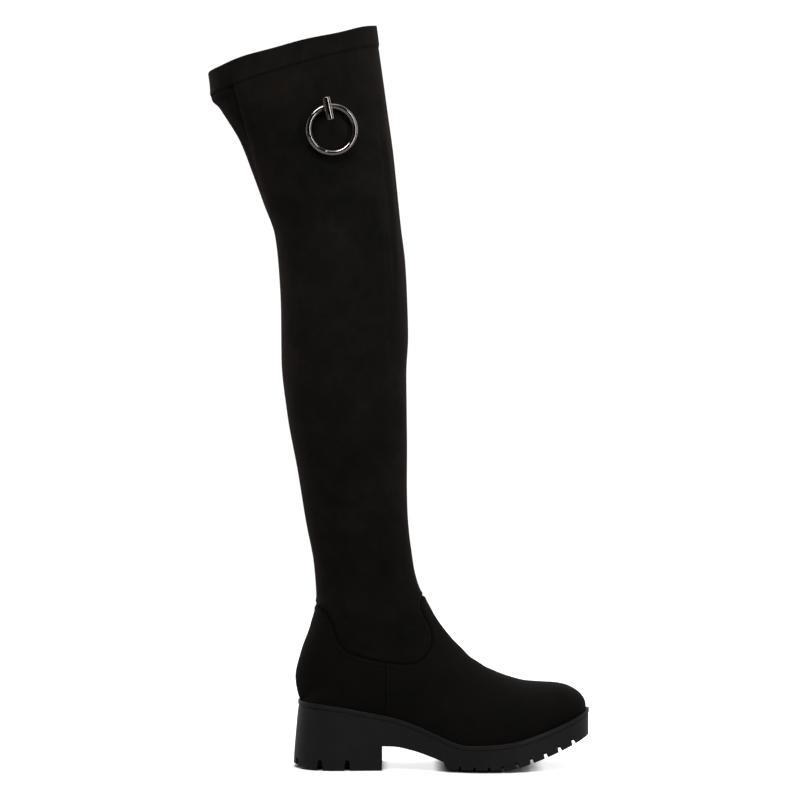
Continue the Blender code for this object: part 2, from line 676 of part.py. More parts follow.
def upper(group, cutters, colour):
    """Foot upper, from the toe to the seam, open underneath."""
    toe = [0, 0.6, 1.2, 1.9, 2.6, 3.4, 4.3, 5.2]
    foot = np.arange(6.2, HEEL_RIB - 3, 1.0)
    heel = np.linspace(HEEL_RIB - 2.9, HEEL_RIB, 6)
    tab = np.arange(HEEL_RIB + 1, HEEL_RIB + 6, 1.0)
    ribs = np.concatenate([toe, foot, heel, tab])
    made = skin_sheet("upper", ribs, [0.0] * len(ribs), UPPER_WALL, group)
    boolean(made, seam_prism("upper_seam", 0.0, cutters))
    return finish(made, colour)


def shaft(group, cutters, colour):
    """Stretch shaft, from the seam to the collar, thicker along its turned hem."""
    ankle = np.arange(HEEL_RIB - 6, HEEL_RIB + 4, 1.0)
    leg = np.linspace(HEEL_RIB + 4, HEM_RIB, 19)
    hem = [HEM_RIB + HEM_RAMP, HEM_RIB + 0.5, COLLAR_RIB]
    ribs = np.concatenate([ankle, leg, hem])
    lift = [0.0] * (len(ribs) - len(hem)) + [HEM_STEP] * len(hem)
    made = skin_sheet("shaft", ribs, lift, SHAFT_WALL, group)
    boolean(made, seam_prism("shaft_seam", -GAP, cutters), "INTERSECT")
    hole_radius = POST_DIAMETER / 2 + GAP
    hole = cylinder("post_hole", hole_radius, 8 * SHAFT_WALL, 12, stud_place(0.0), cutters)
    boolean(made, hide_cutter(hole))
    return finish(made, colour)


def cylinder(name, radius, length, segments, place, group):
    """Cylinder along the local Z of `place`, about its origin."""
    body = bmesh.new()
    ends = {"radius1": radius, "radius2": radius}
    bmesh.ops.create_cone(body, cap_ends=True, segments=segments, depth=length, **ends)
    mesh = bpy.data.meshes.new(name)
    body.to_mesh(mesh)
    body.free()
    made = bpy.data.objects.new(name, mesh)
    made.matrix_world = place
    group.objects.link(made)
    return made


def stud_frame(tilt):
    """Post's foot on the shaft, the outward normal there, and the tangent that leans back by `tilt`."""
    place = np.array([STUD_ROUND])
    foot = Vector(skin(STUD_RIB, place, -1)[0])
    out = Vector(skin_normal(STUD_RIB, place, -1)[0])
    up = Vector((-math.sin(tilt), 0, math.cos(tilt)))
    up = (up - up.dot(out) * out).normalized()
    return foot, out, up


def stud_place(height, tilt=STUD_TILT, rise=0.0):
    """Matrix at a height over the shaft, with Z along the post and Y along the bar."""
    foot, out, up = stud_frame(tilt)
    turn = Matrix((up.cross(out), up, out)).transposed().to_4x4()
    return Matrix.Translation(foot + height * out + rise * up) @ turn


def stud(group, cutters, colour):
    """Bar on a post that goes through the shaft to a small plate inside."""
    bar_height = GAP + RING_WIRE + GAP + BAR_DIAMETER / 2
    plate_sag = (BACK_PLATE / 2) ** 2 / COLLAR_DEPTH
    plate_height = -SHAFT_WALL - GAP - plate_sag - BACK_PLATE_THICKNESS / 2
    bar_place = stud_place(bar_height, rise=BAR_LIFT) @ Matrix.Rotation(math.pi / 2, 4, "X")
    made = cylinder("stud", BAR_DIAMETER / 2, BAR_LENGTH, 24, bar_place, group)
    edge = made.modifiers.new("Edge", "BEVEL")
    edge.width = BAR_EDGE
    edge.segments = 2
    edge.limit_method = "ANGLE"
    post_place = stud_place((bar_height + plate_height) / 2)
    post = cylinder("post", POST_DIAMETER / 2, bar_height - plate_height, 12, post_place, cutters)
    plate_place = stud_place(plate_height)
    plate = cylinder("back_plate", BACK_PLATE / 2, BACK_PLATE_THICKNESS, 20, plate_place, cutters)
    boolean(made, hide_cutter(post), "UNION")
    boolean(made, hide_cutter(plate), "UNION")
    return finish(made, colour)


def ring(group, colour):
    """Wire ring that hangs on the post, between the bar and the shaft."""
    hang = RING_RADIUS - RING_WIRE / 2 - POST_DIAMETER / 2 - GAP
    bpy.ops.mesh.primitive_torus_add(
        major_radius=RING_RADIUS, minor_radius=RING_WIRE / 2, major_segments=40, minor_segments=10
    )
    made = bpy.context.object
    made.name = "ring"
    for owner in list(made.users_collection):
        owner.objects.unlink(made)
    group.objects.link(made)
    made.data.transform(Matrix.Translation((0, -hang, 0)))
    made.matrix_world = stud_place(GAP + RING_WIRE / 2, RING_TILT)
    return finish(made, colour, 60)


def main():
    for old in list(bpy.data.objects):
        bpy.data.objects.remove(old)
    parts = collection(NAME)
    cutters = collection("cutters")
    rubber = material("moulded rubber", "#1f1e1f", 0.42)
    suede = material("black microsuede", "#0e0c0b", 0.9)
    stretch = material("black stretch microsuede", "#151312", 0.88)
    board = material("insole board", "#1b1a19", 0.8)
    nickel = material("dark nickel", "#6d6b6c", 0.22, 1.0)
    outsole(parts, cutters, rubber)
    insole(parts, board)
    upper(parts, cutters, suede)
    shaft(parts, cutters, stretch)
    stud(parts, cutters, nickel)
    ring(parts, nickel)


main()
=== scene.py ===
"""Right thigh-high boot in black microsuede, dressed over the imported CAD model.

Metres. +X points to the toe, -Y to the outer side of the leg and +Z up.
"""

import math

import bmesh
import bpy
import numpy as np
from mathutils import Matrix, Vector


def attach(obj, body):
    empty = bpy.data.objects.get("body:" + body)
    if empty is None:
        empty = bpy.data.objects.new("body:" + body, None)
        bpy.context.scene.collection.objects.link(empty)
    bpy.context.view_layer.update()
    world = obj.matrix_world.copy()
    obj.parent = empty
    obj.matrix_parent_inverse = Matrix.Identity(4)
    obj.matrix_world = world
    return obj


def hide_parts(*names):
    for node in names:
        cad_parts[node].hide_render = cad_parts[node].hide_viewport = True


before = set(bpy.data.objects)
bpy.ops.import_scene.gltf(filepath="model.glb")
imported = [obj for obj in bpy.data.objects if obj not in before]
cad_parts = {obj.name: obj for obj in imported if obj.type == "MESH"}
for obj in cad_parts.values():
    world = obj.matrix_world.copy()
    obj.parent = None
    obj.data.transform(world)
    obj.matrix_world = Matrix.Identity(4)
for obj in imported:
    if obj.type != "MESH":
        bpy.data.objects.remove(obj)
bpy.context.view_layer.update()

# Outsole
# One moulded unit of black rubber: block heel, waist and forefoot, with a raised lip that hides the
# upper's lasted edge. The mould's satin finish gives the wall a soft sheen and the lip a bright line.
# The notches and lug gaps are open at the side; fine cross ribs fill the tread between them.
GAP = 0.0003  # clearance between pieces that touch
SOLE_LENGTH = 0.2568
HEEL_BASE = 0.078
HEEL_FLARE = 0.004
HEEL_WIDTH = 0.067
BALL_WIDTH = 0.097
HEEL_HEIGHT = 0.0590
PLATFORM = 0.0232
TOE_EDGE = 0.0228
TOE_SPRING = 0.0284
TOE_SWING = 0.007
WAIST_RISE = 0.0212
TREAD_STEP = 0.0070
HEEL_ROLL = 0.0040
HEEL_ROLL_LENGTH = 0.020
HEEL_ROUND, HEEL_POWER = 0.037, 2.2
TOE_ROUND, TOE_POWER = 0.070, 2.1
SPRING_SLOPE = 0.58
LIP_HEIGHT = 0.0036
LIP_CREST = 0.0012
LIP_WIDTH = 0.0022
LIP_ROUND = 0.0008
SEAT_GAP = 0.0005
RIM_GROOVE = 0.00035
RIM_GROOVE_HEIGHT = 0.0010
WALL_INSET = 0.0005
HEEL_NOTCH, HEEL_NOTCH_TOP, HEEL_NOTCH_HEIGHT, HEEL_NOTCH_REACH = 0.0060, 0.0031, 0.0092, 0.015
LUG_PITCH, LUG_GAP, LUG_GAP_TOP, LUG_HEIGHT, LUG_REACH = 0.01255, 0.0038, 0.0016, 0.0052, 0.024
FIRST_LUG_GAP, LAST_LUG_GAP = 0.551, 0.965
TREAD_BEVEL, TREAD_BEVEL_HEIGHT = 0.007, 0.0026
TREAD_START, TREAD_FLAT_START, TREAD_FLAT_END = 0.500, 0.575, 0.680
SIPE_PITCH, SIPE_WIDTH, SIPE_DEPTH = 0.0062, 0.0016, 0.0014
TREAD_SIPE_MARGIN, HEEL_SIPE_MARGIN = 0.003, 0.002
HEEL_SIPES = 7
HEEL_STATIONS, FORE_STATIONS = 70, 150
BREAST_GAP = 1e-5
BLOCK_SINK = 0.002  # how far a cutting block starts below the face that it cuts
REAR = HEEL_FLARE - HEEL_BASE / 2
BREAST = HEEL_BASE / 2
TOE_RISE = TOE_SPRING + TOE_EDGE - PLATFORM

# Sole's rim: share of the length, share of the heel's and of the toe's rise
RIM = (
    (0.000, 1.000, 0.000), (0.067, 0.965, 0.000), (0.134, 0.905, 0.000), (0.234, 0.770, 0.000),
    (0.328, 0.630, 0.000), (0.373, 0.535, 0.000), (0.418, 0.412, 0.000), (0.463, 0.275, 0.000),
    (0.508, 0.135, 0.000), (0.542, 0.045, 0.000), (0.580, 0.000, 0.000), (0.680, 0.000, 0.043),
    (0.738, 0.000, 0.120), (0.835, 0.000, 0.370), (0.895, 0.000, 0.560), (0.956, 0.000, 0.790),
    (1.000, 0.000, 1.000),
)
# Sole's plan: share of the length, half width before the ends are rounded, centre's share of the swing
PLAN = (
    (0.00, 0.500 * HEEL_WIDTH, 0.00), (0.14, 0.500 * HEEL_WIDTH, 0.00),
    (0.30, 0.465 * HEEL_WIDTH, -0.04), (0.41, 0.345 * BALL_WIDTH, -0.14),
    (0.52, 0.412 * BALL_WIDTH, -0.25), (0.63, 0.478 * BALL_WIDTH, -0.18),
    (0.74, 0.487 * BALL_WIDTH, 0.28), (0.84, 0.452 * BALL_WIDTH, 0.64),
    (0.92, 0.432 * BALL_WIDTH, 0.89), (1.00, 0.420 * BALL_WIDTH, 1.00),
)
# Underside of the waist: share of the way from the heel's breast to the tread, height
WAIST = (
    (0.00, 1.00 * WAIST_RISE), (0.18, 0.99 * WAIST_RISE), (0.48, 0.85 * WAIST_RISE),
    (0.72, 0.66 * WAIST_RISE), (1.00, 1.20 * TREAD_STEP),
)
# Heel's notches: X and Y of the middle, turn about Z in degrees
HEEL_NOTCHES = (
    (-0.190 * HEEL_BASE, 0.50 * HEEL_WIDTH, 0),
    (0.115 * HEEL_BASE, 0.50 * HEEL_WIDTH, 0),
    (-0.500 * HEEL_BASE, 0.26 * HEEL_WIDTH, 60),
)
# Rim's section from the wall's top up over the lip to the seat: inset from the lip, depth below the rim
LIP_FOOT = LIP_HEIGHT + RIM_GROOVE_HEIGHT
LIP_SECTION = (
    (WALL_INSET, LIP_FOOT + 1.6 * RIM_GROOVE),
    (WALL_INSET, LIP_FOOT + 1.0 * RIM_GROOVE),
    (WALL_INSET + 0.2 * RIM_GROOVE, LIP_FOOT + 0.6 * RIM_GROOVE),
    (RIM_GROOVE + WALL_INSET, LIP_FOOT),
    (RIM_GROOVE + WALL_INSET, LIP_HEIGHT + 0.4 * RIM_GROOVE),
    (0.25 * RIM_GROOVE, LIP_HEIGHT),
    (0.0, LIP_HEIGHT - 0.3 * RIM_GROOVE),
    (0.0, LIP_ROUND),
    (0.13 * LIP_ROUND, 0.50 * LIP_ROUND),
    (0.50 * LIP_ROUND, 0.13 * LIP_ROUND),
    (LIP_ROUND, 0.0),
    (LIP_WIDTH - 0.4 * LIP_ROUND, 0.0),
    (LIP_WIDTH, 0.4 * LIP_ROUND),
    (LIP_WIDTH, LIP_CREST),
)


def through(knots, values, at):
    """Smooth curve through the values: cubic pieces whose slopes are harmonic means, so none overshoots."""
    knots, values = np.asarray(knots, float), np.asarray(values, float)
    step = np.diff(knots)
    slope = np.diff(values) / step
    before, after = slope[:-1], slope[1:]
    level = before * after <= 0
    near, far = 2 * step[1:] + step[:-1], step[1:] + 2 * step[:-1]
    inner = (near + far) / (near / np.where(level, 1, before) + far / np.where(level, 1, after))
    tangent = np.concatenate([slope[:1], np.where(level, 0, inner), slope[-1:]])
    at = np.clip(np.asarray(at, float), knots[0], knots[-1])
    i = np.clip(np.searchsorted(knots, at, side="right") - 1, 0, len(step) - 1)
    u = (at - knots[i]) / step[i]
    rise = values[i + 1] - values[i]
    start, end = tangent[i] * step[i], tangent[i + 1] * step[i]
    return values[i] + u * start + u**2 * (3 * rise - 2 * start - end) + u**3 * (start + end - 2 * rise)


def column(table, index, at):
    """A table's column read along its first column."""
    return through([row[0] for row in table], [row[index] for row in table], at)


def along(share):
    """World X at a share of the sole's length."""
    return REAR + np.asarray(share) * SOLE_LENGTH


def rim_height(x):
    """Height of the sole's rim: platform, plus shares of the heel's and of the toe's rise."""
    share = (np.asarray(x) - REAR) / SOLE_LENGTH
    return PLATFORM + column(RIM, 1, share) * (HEEL_HEIGHT - PLATFORM) + column(RIM, 2, share) * TOE_RISE


def seat_height(x):
    return rim_height(x) - LIP_CREST


def rounding(reach, length, power):
    """Share of the full width near a round end: (1 - u^p)^(1/p), a superellipse."""
    return (1 - np.clip(1 - reach / length, 0, 1) ** power) ** (1 / power)


def plan(x, inset=0.0, rear=None, bevel=0.0):
    """Outer and inner Y of the sole's outline at X: half width times both roundings, about the swung centre."""
    start = REAR + (inset if rear is None else rear)
    end = REAR + SOLE_LENGTH - inset
    x = np.clip(np.asarray(x, float), start, end)
    share = (x - start) / (end - start)
    forefoot = np.clip((x - BREAST) / (along(TREAD_START) - BREAST), 0, 1)
    half = column(PLAN, 1, share) - inset - bevel * forefoot
    half = half * rounding(x - start, HEEL_ROUND, HEEL_POWER) * rounding(end - x, TOE_ROUND, TOE_POWER)
    centre = column(PLAN, 2, share) * TOE_SWING
    return centre - half, centre + half


def underside(x):
    """Height of the sole's lower face: heel with its roll, waist, step down to the tread, toe spring."""
    start, flat, spring = along(TREAD_START), along(TREAD_FLAT_START), along(TREAD_FLAT_END)
    waist = column(WAIST, 1, (x - BREAST) / (start - BREAST))
    step = TREAD_STEP * (1 - np.clip((x - start) / (flat - start), 0, 1) ** 0.5) ** 2
    ramp = np.clip((x - spring) / (along(1.0) - spring), 0, None)
    rise = TOE_SPRING * (SPRING_SLOPE * ramp + (1 - SPRING_SLOPE) * ramp**2)
    heel = HEEL_ROLL * np.clip((HEEL_ROLL_LENGTH - HEEL_BASE / 2 - x) / HEEL_ROLL_LENGTH, 0, 1)
    return np.where(x < BREAST, heel, np.where(x < start, waist, step + rise))


def sole_stations(start, end):
    """X places from heel to toe, closer at the round ends, with a pair on the heel's breast."""
    counts = HEEL_STATIONS, FORE_STATIONS
    heel_turn, fore_turn = (np.linspace(0, math.pi / 2, count) for count in counts)
    bends = 1 - np.cos(heel_turn), np.sin(fore_turn)
    heel, fore = (0.6 * bend + 0.4 * np.linspace(0, 1, count) for bend, count in zip(bends, counts))
    heel = start + heel * (BREAST - BREAST_GAP - start)
    return np.concatenate([heel, BREAST + BREAST_GAP + fore * (end - BREAST - BREAST_GAP)])


def sole_ring(inset, height, rear=None, bevel=0.0):
    """Closed ring of points round the sole's plan at an inset; `height` gives Z from X."""
    x = sole_stations(REAR + (inset if rear is None else rear), REAR + SOLE_LENGTH - inset)
    outer, inner = plan(x, inset, rear, bevel(x) if callable(bevel) else bevel)
    z = height(x) + 0 * x
    return np.concatenate([np.stack([x, outer, z], 1), np.stack([x, inner, z], 1)[::-1]])


def mesh_piece(name, vertices, faces, materials=()):
    """A shown object at the origin, from arrays of points and of faces."""
    mesh = bpy.data.meshes.new(name)
    mesh.from_pydata(np.asarray(vertices, float).tolist(), [], [tuple(map(int, face)) for face in faces])
    made = bpy.data.objects.new(name, mesh)
    bpy.context.scene.collection.objects.link(made)
    for finish in materials:
        mesh.materials.append(finish)
    return made


def welded(made, distance=1e-6, outward=True):
    """Joins points that lie together, drops what collapses and turns a closed shape's faces out."""
    body = bmesh.new()
    body.from_mesh(made.data)
    bmesh.ops.remove_doubles(body, verts=body.verts, dist=distance)
    bmesh.ops.dissolve_degenerate(body, edges=body.edges, dist=1e-8)
    if outward:
        bmesh.ops.recalc_face_normals(body, faces=body.faces)
    body.to_mesh(made.data)
    body.free()
    return made


def smooth(made, angle=35):
    made.data.shade_smooth()
    made.data.set_sharp_from_angle(angle=math.radians(angle))
    return made


def applied(made):
    """Puts an object's modifiers into its mesh and removes them."""
    mesh = bpy.data.meshes.new_from_object(made.evaluated_get(bpy.context.evaluated_depsgraph_get()))
    made.modifiers.clear()
    made.data = mesh
    return made


def loft_faces(rings, loop, closed=False):
    """Quads between stacked closed rings of `loop` points, and from the last ring to the first if closed."""
    start = np.arange(rings - 1 + closed)[:, None] * loop
    a = (start + np.arange(loop)).ravel()
    b = (start + (np.arange(loop) + 1) % loop).ravel()
    return np.stack([a, b, b + loop, a + loop], 1) % (rings * loop)


def tapered_block(place, reach, bottom, top, height, slope=0.0, turn=0.0):
    """Eight corners of a block that narrows upward, drawn out by `reach` along Y, tilted, turned and placed."""
    levels = (bottom, -BLOCK_SINK), (top, height)
    corners = [(s * wide / 2, y, z) for y in (-reach, reach) for wide, z in levels for s in (-1, 1)]
    shift = Matrix.Translation(place) @ Matrix.Rotation(turn, 4, "Z") @ Matrix.Rotation(-slope, 4, "Y")
    return [shift @ Vector(corner) for corner in corners]


def tread_slope(x):
    """Angle of the sole's lower face at X, from its rise over 2 mm."""
    return math.atan((underside(x + 1e-3) - underside(x - 1e-3)) / 2e-3)


def cut(made, blocks):
    """Takes blocks that don't touch each other out of a closed piece."""
    box = np.array([(0, 1, 3, 2), (4, 6, 7, 5), (0, 4, 5, 1), (2, 3, 7, 6), (0, 2, 6, 4), (1, 5, 7, 3)])
    faces = np.concatenate([box + 8 * i for i in range(len(blocks))])
    tool = welded(mesh_piece("cut", np.array([tuple(corner) for block in blocks for corner in block]), faces))
    step = made.modifiers.new("Cut", "BOOLEAN")
    step.operation, step.solver, step.object = "DIFFERENCE", "EXACT", tool
    applied(made)
    bpy.data.objects.remove(tool)
    return made


def connect(material, node, inputs):
    """Gives each named socket of a node a number, a colour or another node's output."""
    for socket, value in inputs.items():
        if isinstance(value, bpy.types.NodeSocket):
            material.node_tree.links.new(value, node.inputs[socket])
        else:
            node.inputs[socket].default_value = value


def add(material, kind, inputs=None, out=None, **settings):
    """Adds a node with its settings and inputs. Gives its output named `out`, or else the first in use."""
    made = material.node_tree.nodes.new(kind)
    for name, value in settings.items():
        setattr(made, name, value)
    connect(material, made, inputs or {})
    return made.outputs[out] if out else next(socket for socket in made.outputs if socket.enabled)


def hex_colour(code):
    """Linear colour of an sRGB hex code."""
    channels = [int(code[i : i + 2], 16) / 255 for i in (1, 3, 5)]
    return (*(c / 12.92 if c <= 0.04045 else ((c + 0.055) / 1.055) ** 2.4 for c in channels), 1.0)


def new_material(name):
    made = bpy.data.materials.new(name)
    made.use_nodes = True
    return made


def shaded(material, inputs):
    """Sets the sockets of a material's Principled shader."""
    connect(material, material.node_tree.nodes["Principled BSDF"], inputs)
    return material


def moulded_rubber():
    """Injection-moulded rubber, satin from a finely sparked mould: faint clouding, soft grain, clear edge lines."""
    made = new_material("satin moulded rubber")
    place = add(made, "ShaderNodeTexCoord", out="Object")
    cloud = add(made, "ShaderNodeTexNoise", {"Vector": place, "Scale": 1 / 0.014, "Detail": 3.0})
    grain = add(made, "ShaderNodeTexNoise", {"Vector": place, "Scale": 1 / 0.0009, "Detail": 2.0})
    tone = add(made, "ShaderNodeMix", {"Factor": cloud, "A": hex_colour("#1d1b1c"), "B": hex_colour("#242223")},
               data_type="RGBA")
    gloss = add(made, "ShaderNodeMapRange", {"Value": cloud, "From Min": 0.3, "From Max": 0.7,
                                             "To Min": 0.36, "To Max": 0.46})
    relief = add(made, "ShaderNodeBump", {"Height": grain, "Strength": 0.25, "Distance": 0.0001})
    return shaded(made, {"Base Color": tone, "Roughness": gloss, "Normal": relief, "IOR": 1.5,
                         "Specular IOR Level": 0.12})


RUBBER = moulded_rubber()


def sole_rows():
    """Rings of the sole from its lower face to its seat.

    Each wall row lies at a share of the way from the lower face to the wall's top, and its back end
    leans out by what is left of the heel's flare."""
    wall_top = LIP_FOOT + 1.6 * RIM_GROOVE
    bevel = lambda x: TREAD_BEVEL * np.clip(1 - underside(x) / TREAD_BEVEL_HEIGHT, 0, 1)
    rows = [sole_ring(WALL_INSET, underside, -HEEL_FLARE, bevel)]
    above_bevel = lambda x: np.maximum(underside(x) + 1e-4, TREAD_BEVEL_HEIGHT)
    rows.append(sole_ring(WALL_INSET, above_bevel, -0.95 * HEEL_FLARE))
    for share in (0.12, 0.3, 0.5, 0.7, 0.88):
        height = lambda x, s=share: above_bevel(x) + s * (rim_height(x) - wall_top - above_bevel(x))
        rows.append(sole_ring(WALL_INSET, height, WALL_INSET - (HEEL_FLARE + WALL_INSET) * (1 - share) ** 0.8))
    for inset, depth in LIP_SECTION:
        rows.append(sole_ring(inset, lambda x, d=depth: rim_height(x) - d))
    return rows


def outsole():
    """The rings closed by a lower and an upper face, less notches, lug gaps and cross ribs."""
    rows = sole_rows()
    loop = len(rows[0])
    i = np.arange(loop // 2 - 1)
    strip = np.stack([i, i + 1, loop - 2 - i, loop - 1 - i], 1)
    faces = np.concatenate([loft_faces(len(rows), loop), strip[:, ::-1], strip + (len(rows) - 1) * loop])
    made = welded(mesh_piece("outsole_unit", np.concatenate(rows), faces, [RUBBER]))
    first, last = along(FIRST_LUG_GAP), along(LAST_LUG_GAP)
    for side in (-1, 1):
        blocks = [
            tapered_block((x, side * y, 0), HEEL_NOTCH_REACH, HEEL_NOTCH, HEEL_NOTCH_TOP, HEEL_NOTCH_HEIGHT,
                          turn=side * math.radians(turn))
            for x, y, turn in HEEL_NOTCHES
        ]
        for x in np.arange(first, last, LUG_PITCH):
            place = (x, float(plan(x)[side > 0]), float(underside(x)))
            blocks.append(tapered_block(place, LUG_REACH, LUG_GAP, LUG_GAP_TOP, LUG_HEIGHT, tread_slope(x)))
        cut(made, blocks)
    section = SIPE_WIDTH, SIPE_WIDTH, SIPE_DEPTH
    sipes = []
    for x in np.arange(first - 0.5 * LUG_PITCH, last - LUG_PITCH, SIPE_PITCH):
        outer, inner = plan(x)
        reach = (inner - outer) / 2 - LUG_REACH - TREAD_SIPE_MARGIN
        place = (x, float(inner + outer) / 2, float(underside(x)))
        sipes.append(tapered_block(place, reach, *section, tread_slope(x)))
    for x in np.linspace(-0.30 * HEEL_BASE, 0.42 * HEEL_BASE, HEEL_SIPES):
        sipes.append(tapered_block((x, 0, 0), HEEL_WIDTH / 2 - HEEL_NOTCH_REACH - HEEL_SIPE_MARGIN, *section))
    return smooth(cut(made, sipes), 30)


sole = outsole()
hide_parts("outsole")
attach(sole, "boot")

# Insole
# A board covered in black jersey that lies on the seat. Only its heel shows, from above through the
# collar; the cloth's knit and the tread of the board give it a dull, even face.


def ribbed_knit(name, tones, half_pitch, bands, waver, waver_scale, strength, depth, roughness, specular):
    """Knitted cloth: a wavering sine of ribs in two tones, which is also its bump.

    The Wave node turns 20 radians to the unit, so ribs at a scale of 1 / (6.28 h) lie about 2 h apart."""
    made = new_material(name)
    place = add(made, "ShaderNodeTexCoord", out="Object")
    ribs = add(made, "ShaderNodeTexWave", {"Vector": place, "Scale": 1 / half_pitch / 6.28, "Distortion": waver,
                                           "Detail": 2.0, "Detail Scale": waver_scale}, "Fac", bands_direction=bands)
    dark, light = (hex_colour(tone) for tone in tones)
    tone = add(made, "ShaderNodeMix", {"Factor": ribs, "A": dark, "B": light}, data_type="RGBA")
    relief = add(made, "ShaderNodeBump", {"Height": ribs, "Strength": strength, "Distance": depth})
    return shaded(made, {"Base Color": tone, "Normal": relief, "Roughness": roughness,
                         "Specular IOR Level": specular})


# Jersey glued to board, its ribs drawn 2.4 mm apart, coarser than the real 0.5 mm, so that they show
JERSEY = ribbed_knit("black cotton jersey", ("#141211", "#1e1c1a"), half_pitch=0.0012, bands="Y", waver=1.0,
                     waver_scale=1.0, strength=0.5, depth=0.0002, roughness=0.9, specular=0.5)

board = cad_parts["insole"]
board.data.materials.clear()
board.data.materials.append(JERSEY)

# Foot upper
# Microsuede on a foam backing, lasted over the foot and cut to a U at the ankle, where the shaft is let
# in. A side seam joins its front and back on both sides. The nap is short, so the cloth stays nearly
# black and lights up only where it turns away. Seams are turned in and pull the cloth into a groove.
UPPER_WALL, SHAFT_WALL = 0.0020, 0.0015
BULGE, BULGE_RISE = 0.0012, 0.020
SOFT_TURN = 0.002
NOSE_SPREAD = 0.3
TOE_HEIGHT = 0.041
INSTEP_HEIGHT = 0.117
RIDGE_SHIFT = 0.005
SHAFT_HEIGHT = 0.4968
COLLAR_DROP = 0.0416
COLLAR_DIP, DIP_RIBS = 0.0036, 5.0
ANKLE_X, SHAFT_LEAN = 0.020, 0.060
ANKLE_DEPTH, ANKLE_WIDTH = 0.088, 0.076
CALF_DEPTH, CALF_WIDTH = 0.112, 0.104
COLLAR_DEPTH, COLLAR_WIDTH = 0.147, 0.119
HEM_DEPTH, HEM_STEP = 0.019, 0.0009
HEM_SHARE = 1 - HEM_DEPTH / SHAFT_HEIGHT
NEAR, TINY = 1e-3, 1e-9

# Ribs of the foot from toe to heel: share of the length at the ridge, height there over the sole's edge
# (the first TOE_RIBS in shares of the toe's height, the rest of the instep's), share of the length at the
# sole, least half width as a share of the ankle's width, ridge's shift and fullness
FOOT = (
    (0.9894, 0.00, 0.9830, 0.00, 0.0, 1.00),
    (0.9888, 0.09, 0.9760, 0.00, 0.0, 0.96),
    (0.9850, 0.20, 0.9640, 0.00, 0.0, 0.90),
    (0.9720, 0.37, 0.9440, 0.00, 0.2, 0.86),
    (0.9490, 0.55, 0.9160, 0.00, 0.4, 0.83),
    (0.9200, 0.71, 0.8790, 0.00, 0.6, 0.83),
    (0.8830, 0.845, 0.8360, 0.00, 0.8, 0.84),
    (0.8360, 0.965, 0.7850, 0.00, 0.9, 0.86),
    (0.7850, 0.382, 0.7270, 0.00, 1.0, 0.90),
    (0.7300, 0.441, 0.6600, 0.00, 1.0, 0.95),
    (0.6780, 0.500, 0.5900, 0.00, 1.0, 1.00),
    (0.6290, 0.564, 0.5160, 0.30, 1.0, 1.05),
    (0.5860, 0.634, 0.4380, 0.42, 1.0, 1.08),
    (0.5490, 0.706, 0.3600, 0.43, 0.9, 1.08),
    (0.5180, 0.756, 0.2850, 0.44, 0.7, 1.06),
    (0.4880, 0.812, 0.2150, 0.45, 0.5, 1.04),
    (0.4630, 0.874, 0.1480, 0.46, 0.3, 1.02),
    (0.4430, 0.936, 0.0820, 0.465, 0.1, 1.00),
    (0.4310, 0.968, 0.0370, 0.47, 0.0, 1.00),
    (0.4195, 1.000, 0.0100, 0.475, 0.0, 1.00),
)
# Ribs of the leg from the bend to the collar: share of the front's rise, share of the back's rise,
# share of the lean, depth and half width as shares of the girth that LEG_GIRTHS gives
LEG = (
    (0.031, 0.037, 0.08, 1.195, 0.480),
    (0.063, 0.077, 0.06, 1.114, 0.485),
    (0.101, 0.121, 0.01, 0.989, 0.492),
    (0.143, 0.164, -0.02, 0.914, 0.500),
    (0.192, 0.215, 0.00, 0.931, 0.520),
    (0.252, 0.286, 0.06, 1.016, 0.565),
    (0.316, 0.364, 0.12, 0.857, 0.452),
    (0.383, 0.455, 0.20, 0.937, 0.485),
    (0.449, 0.542, 0.23, 0.997, 0.500),
    (0.514, 0.618, 0.24, 0.993, 0.492),
    (0.578, 0.686, 0.27, 0.996, 0.482),
    (0.642, 0.740, 0.33, 0.992, 0.482),
    (0.707, 0.791, 0.44, 1.050, 0.496),
    (0.775, 0.842, 0.555, 0.846, 0.450),
    (0.846, 0.891, 0.685, 0.886, 0.467),
    (0.916, 0.940, 0.863, 0.966, 0.484),
    (HEM_SHARE, HEM_SHARE, 0.948, 0.992, 0.493),
    (1.000, 1.000, 1.000, 1.000, 0.500),
)
TOE_RIBS = 8
LEG_GIRTHS = ((6, ANKLE_DEPTH, ANKLE_WIDTH), (7, CALF_DEPTH, CALF_WIDTH), (5, COLLAR_DEPTH, COLLAR_WIDTH))
HEEL_RIB = len(FOOT) - 1
COLLAR_RIB = HEEL_RIB + len(LEG)
HEM_RIB = COLLAR_RIB - 1
# Seam between upper and shaft in side view: X ahead of the bend as a share of the ankle's depth,
# depth below the bend as a share of the instep's height
SEAM = (
    (0.400, -0.100), (0.022, 0.045), (0.004, 0.115), (0.046, 0.195), (0.102, 0.285), (0.116, 0.360),
    (0.088, 0.430), (0.020, 0.495), (-0.070, 0.525), (-0.170, 0.532), (-0.290, 0.520), (-0.440, 0.502),
    (-0.590, 0.473), (-0.730, 0.430), (-0.815, 0.352), (-0.870, 0.240), (-0.940, 0.145),
    (-1.030, 0.110), (-1.400, 0.080),
)


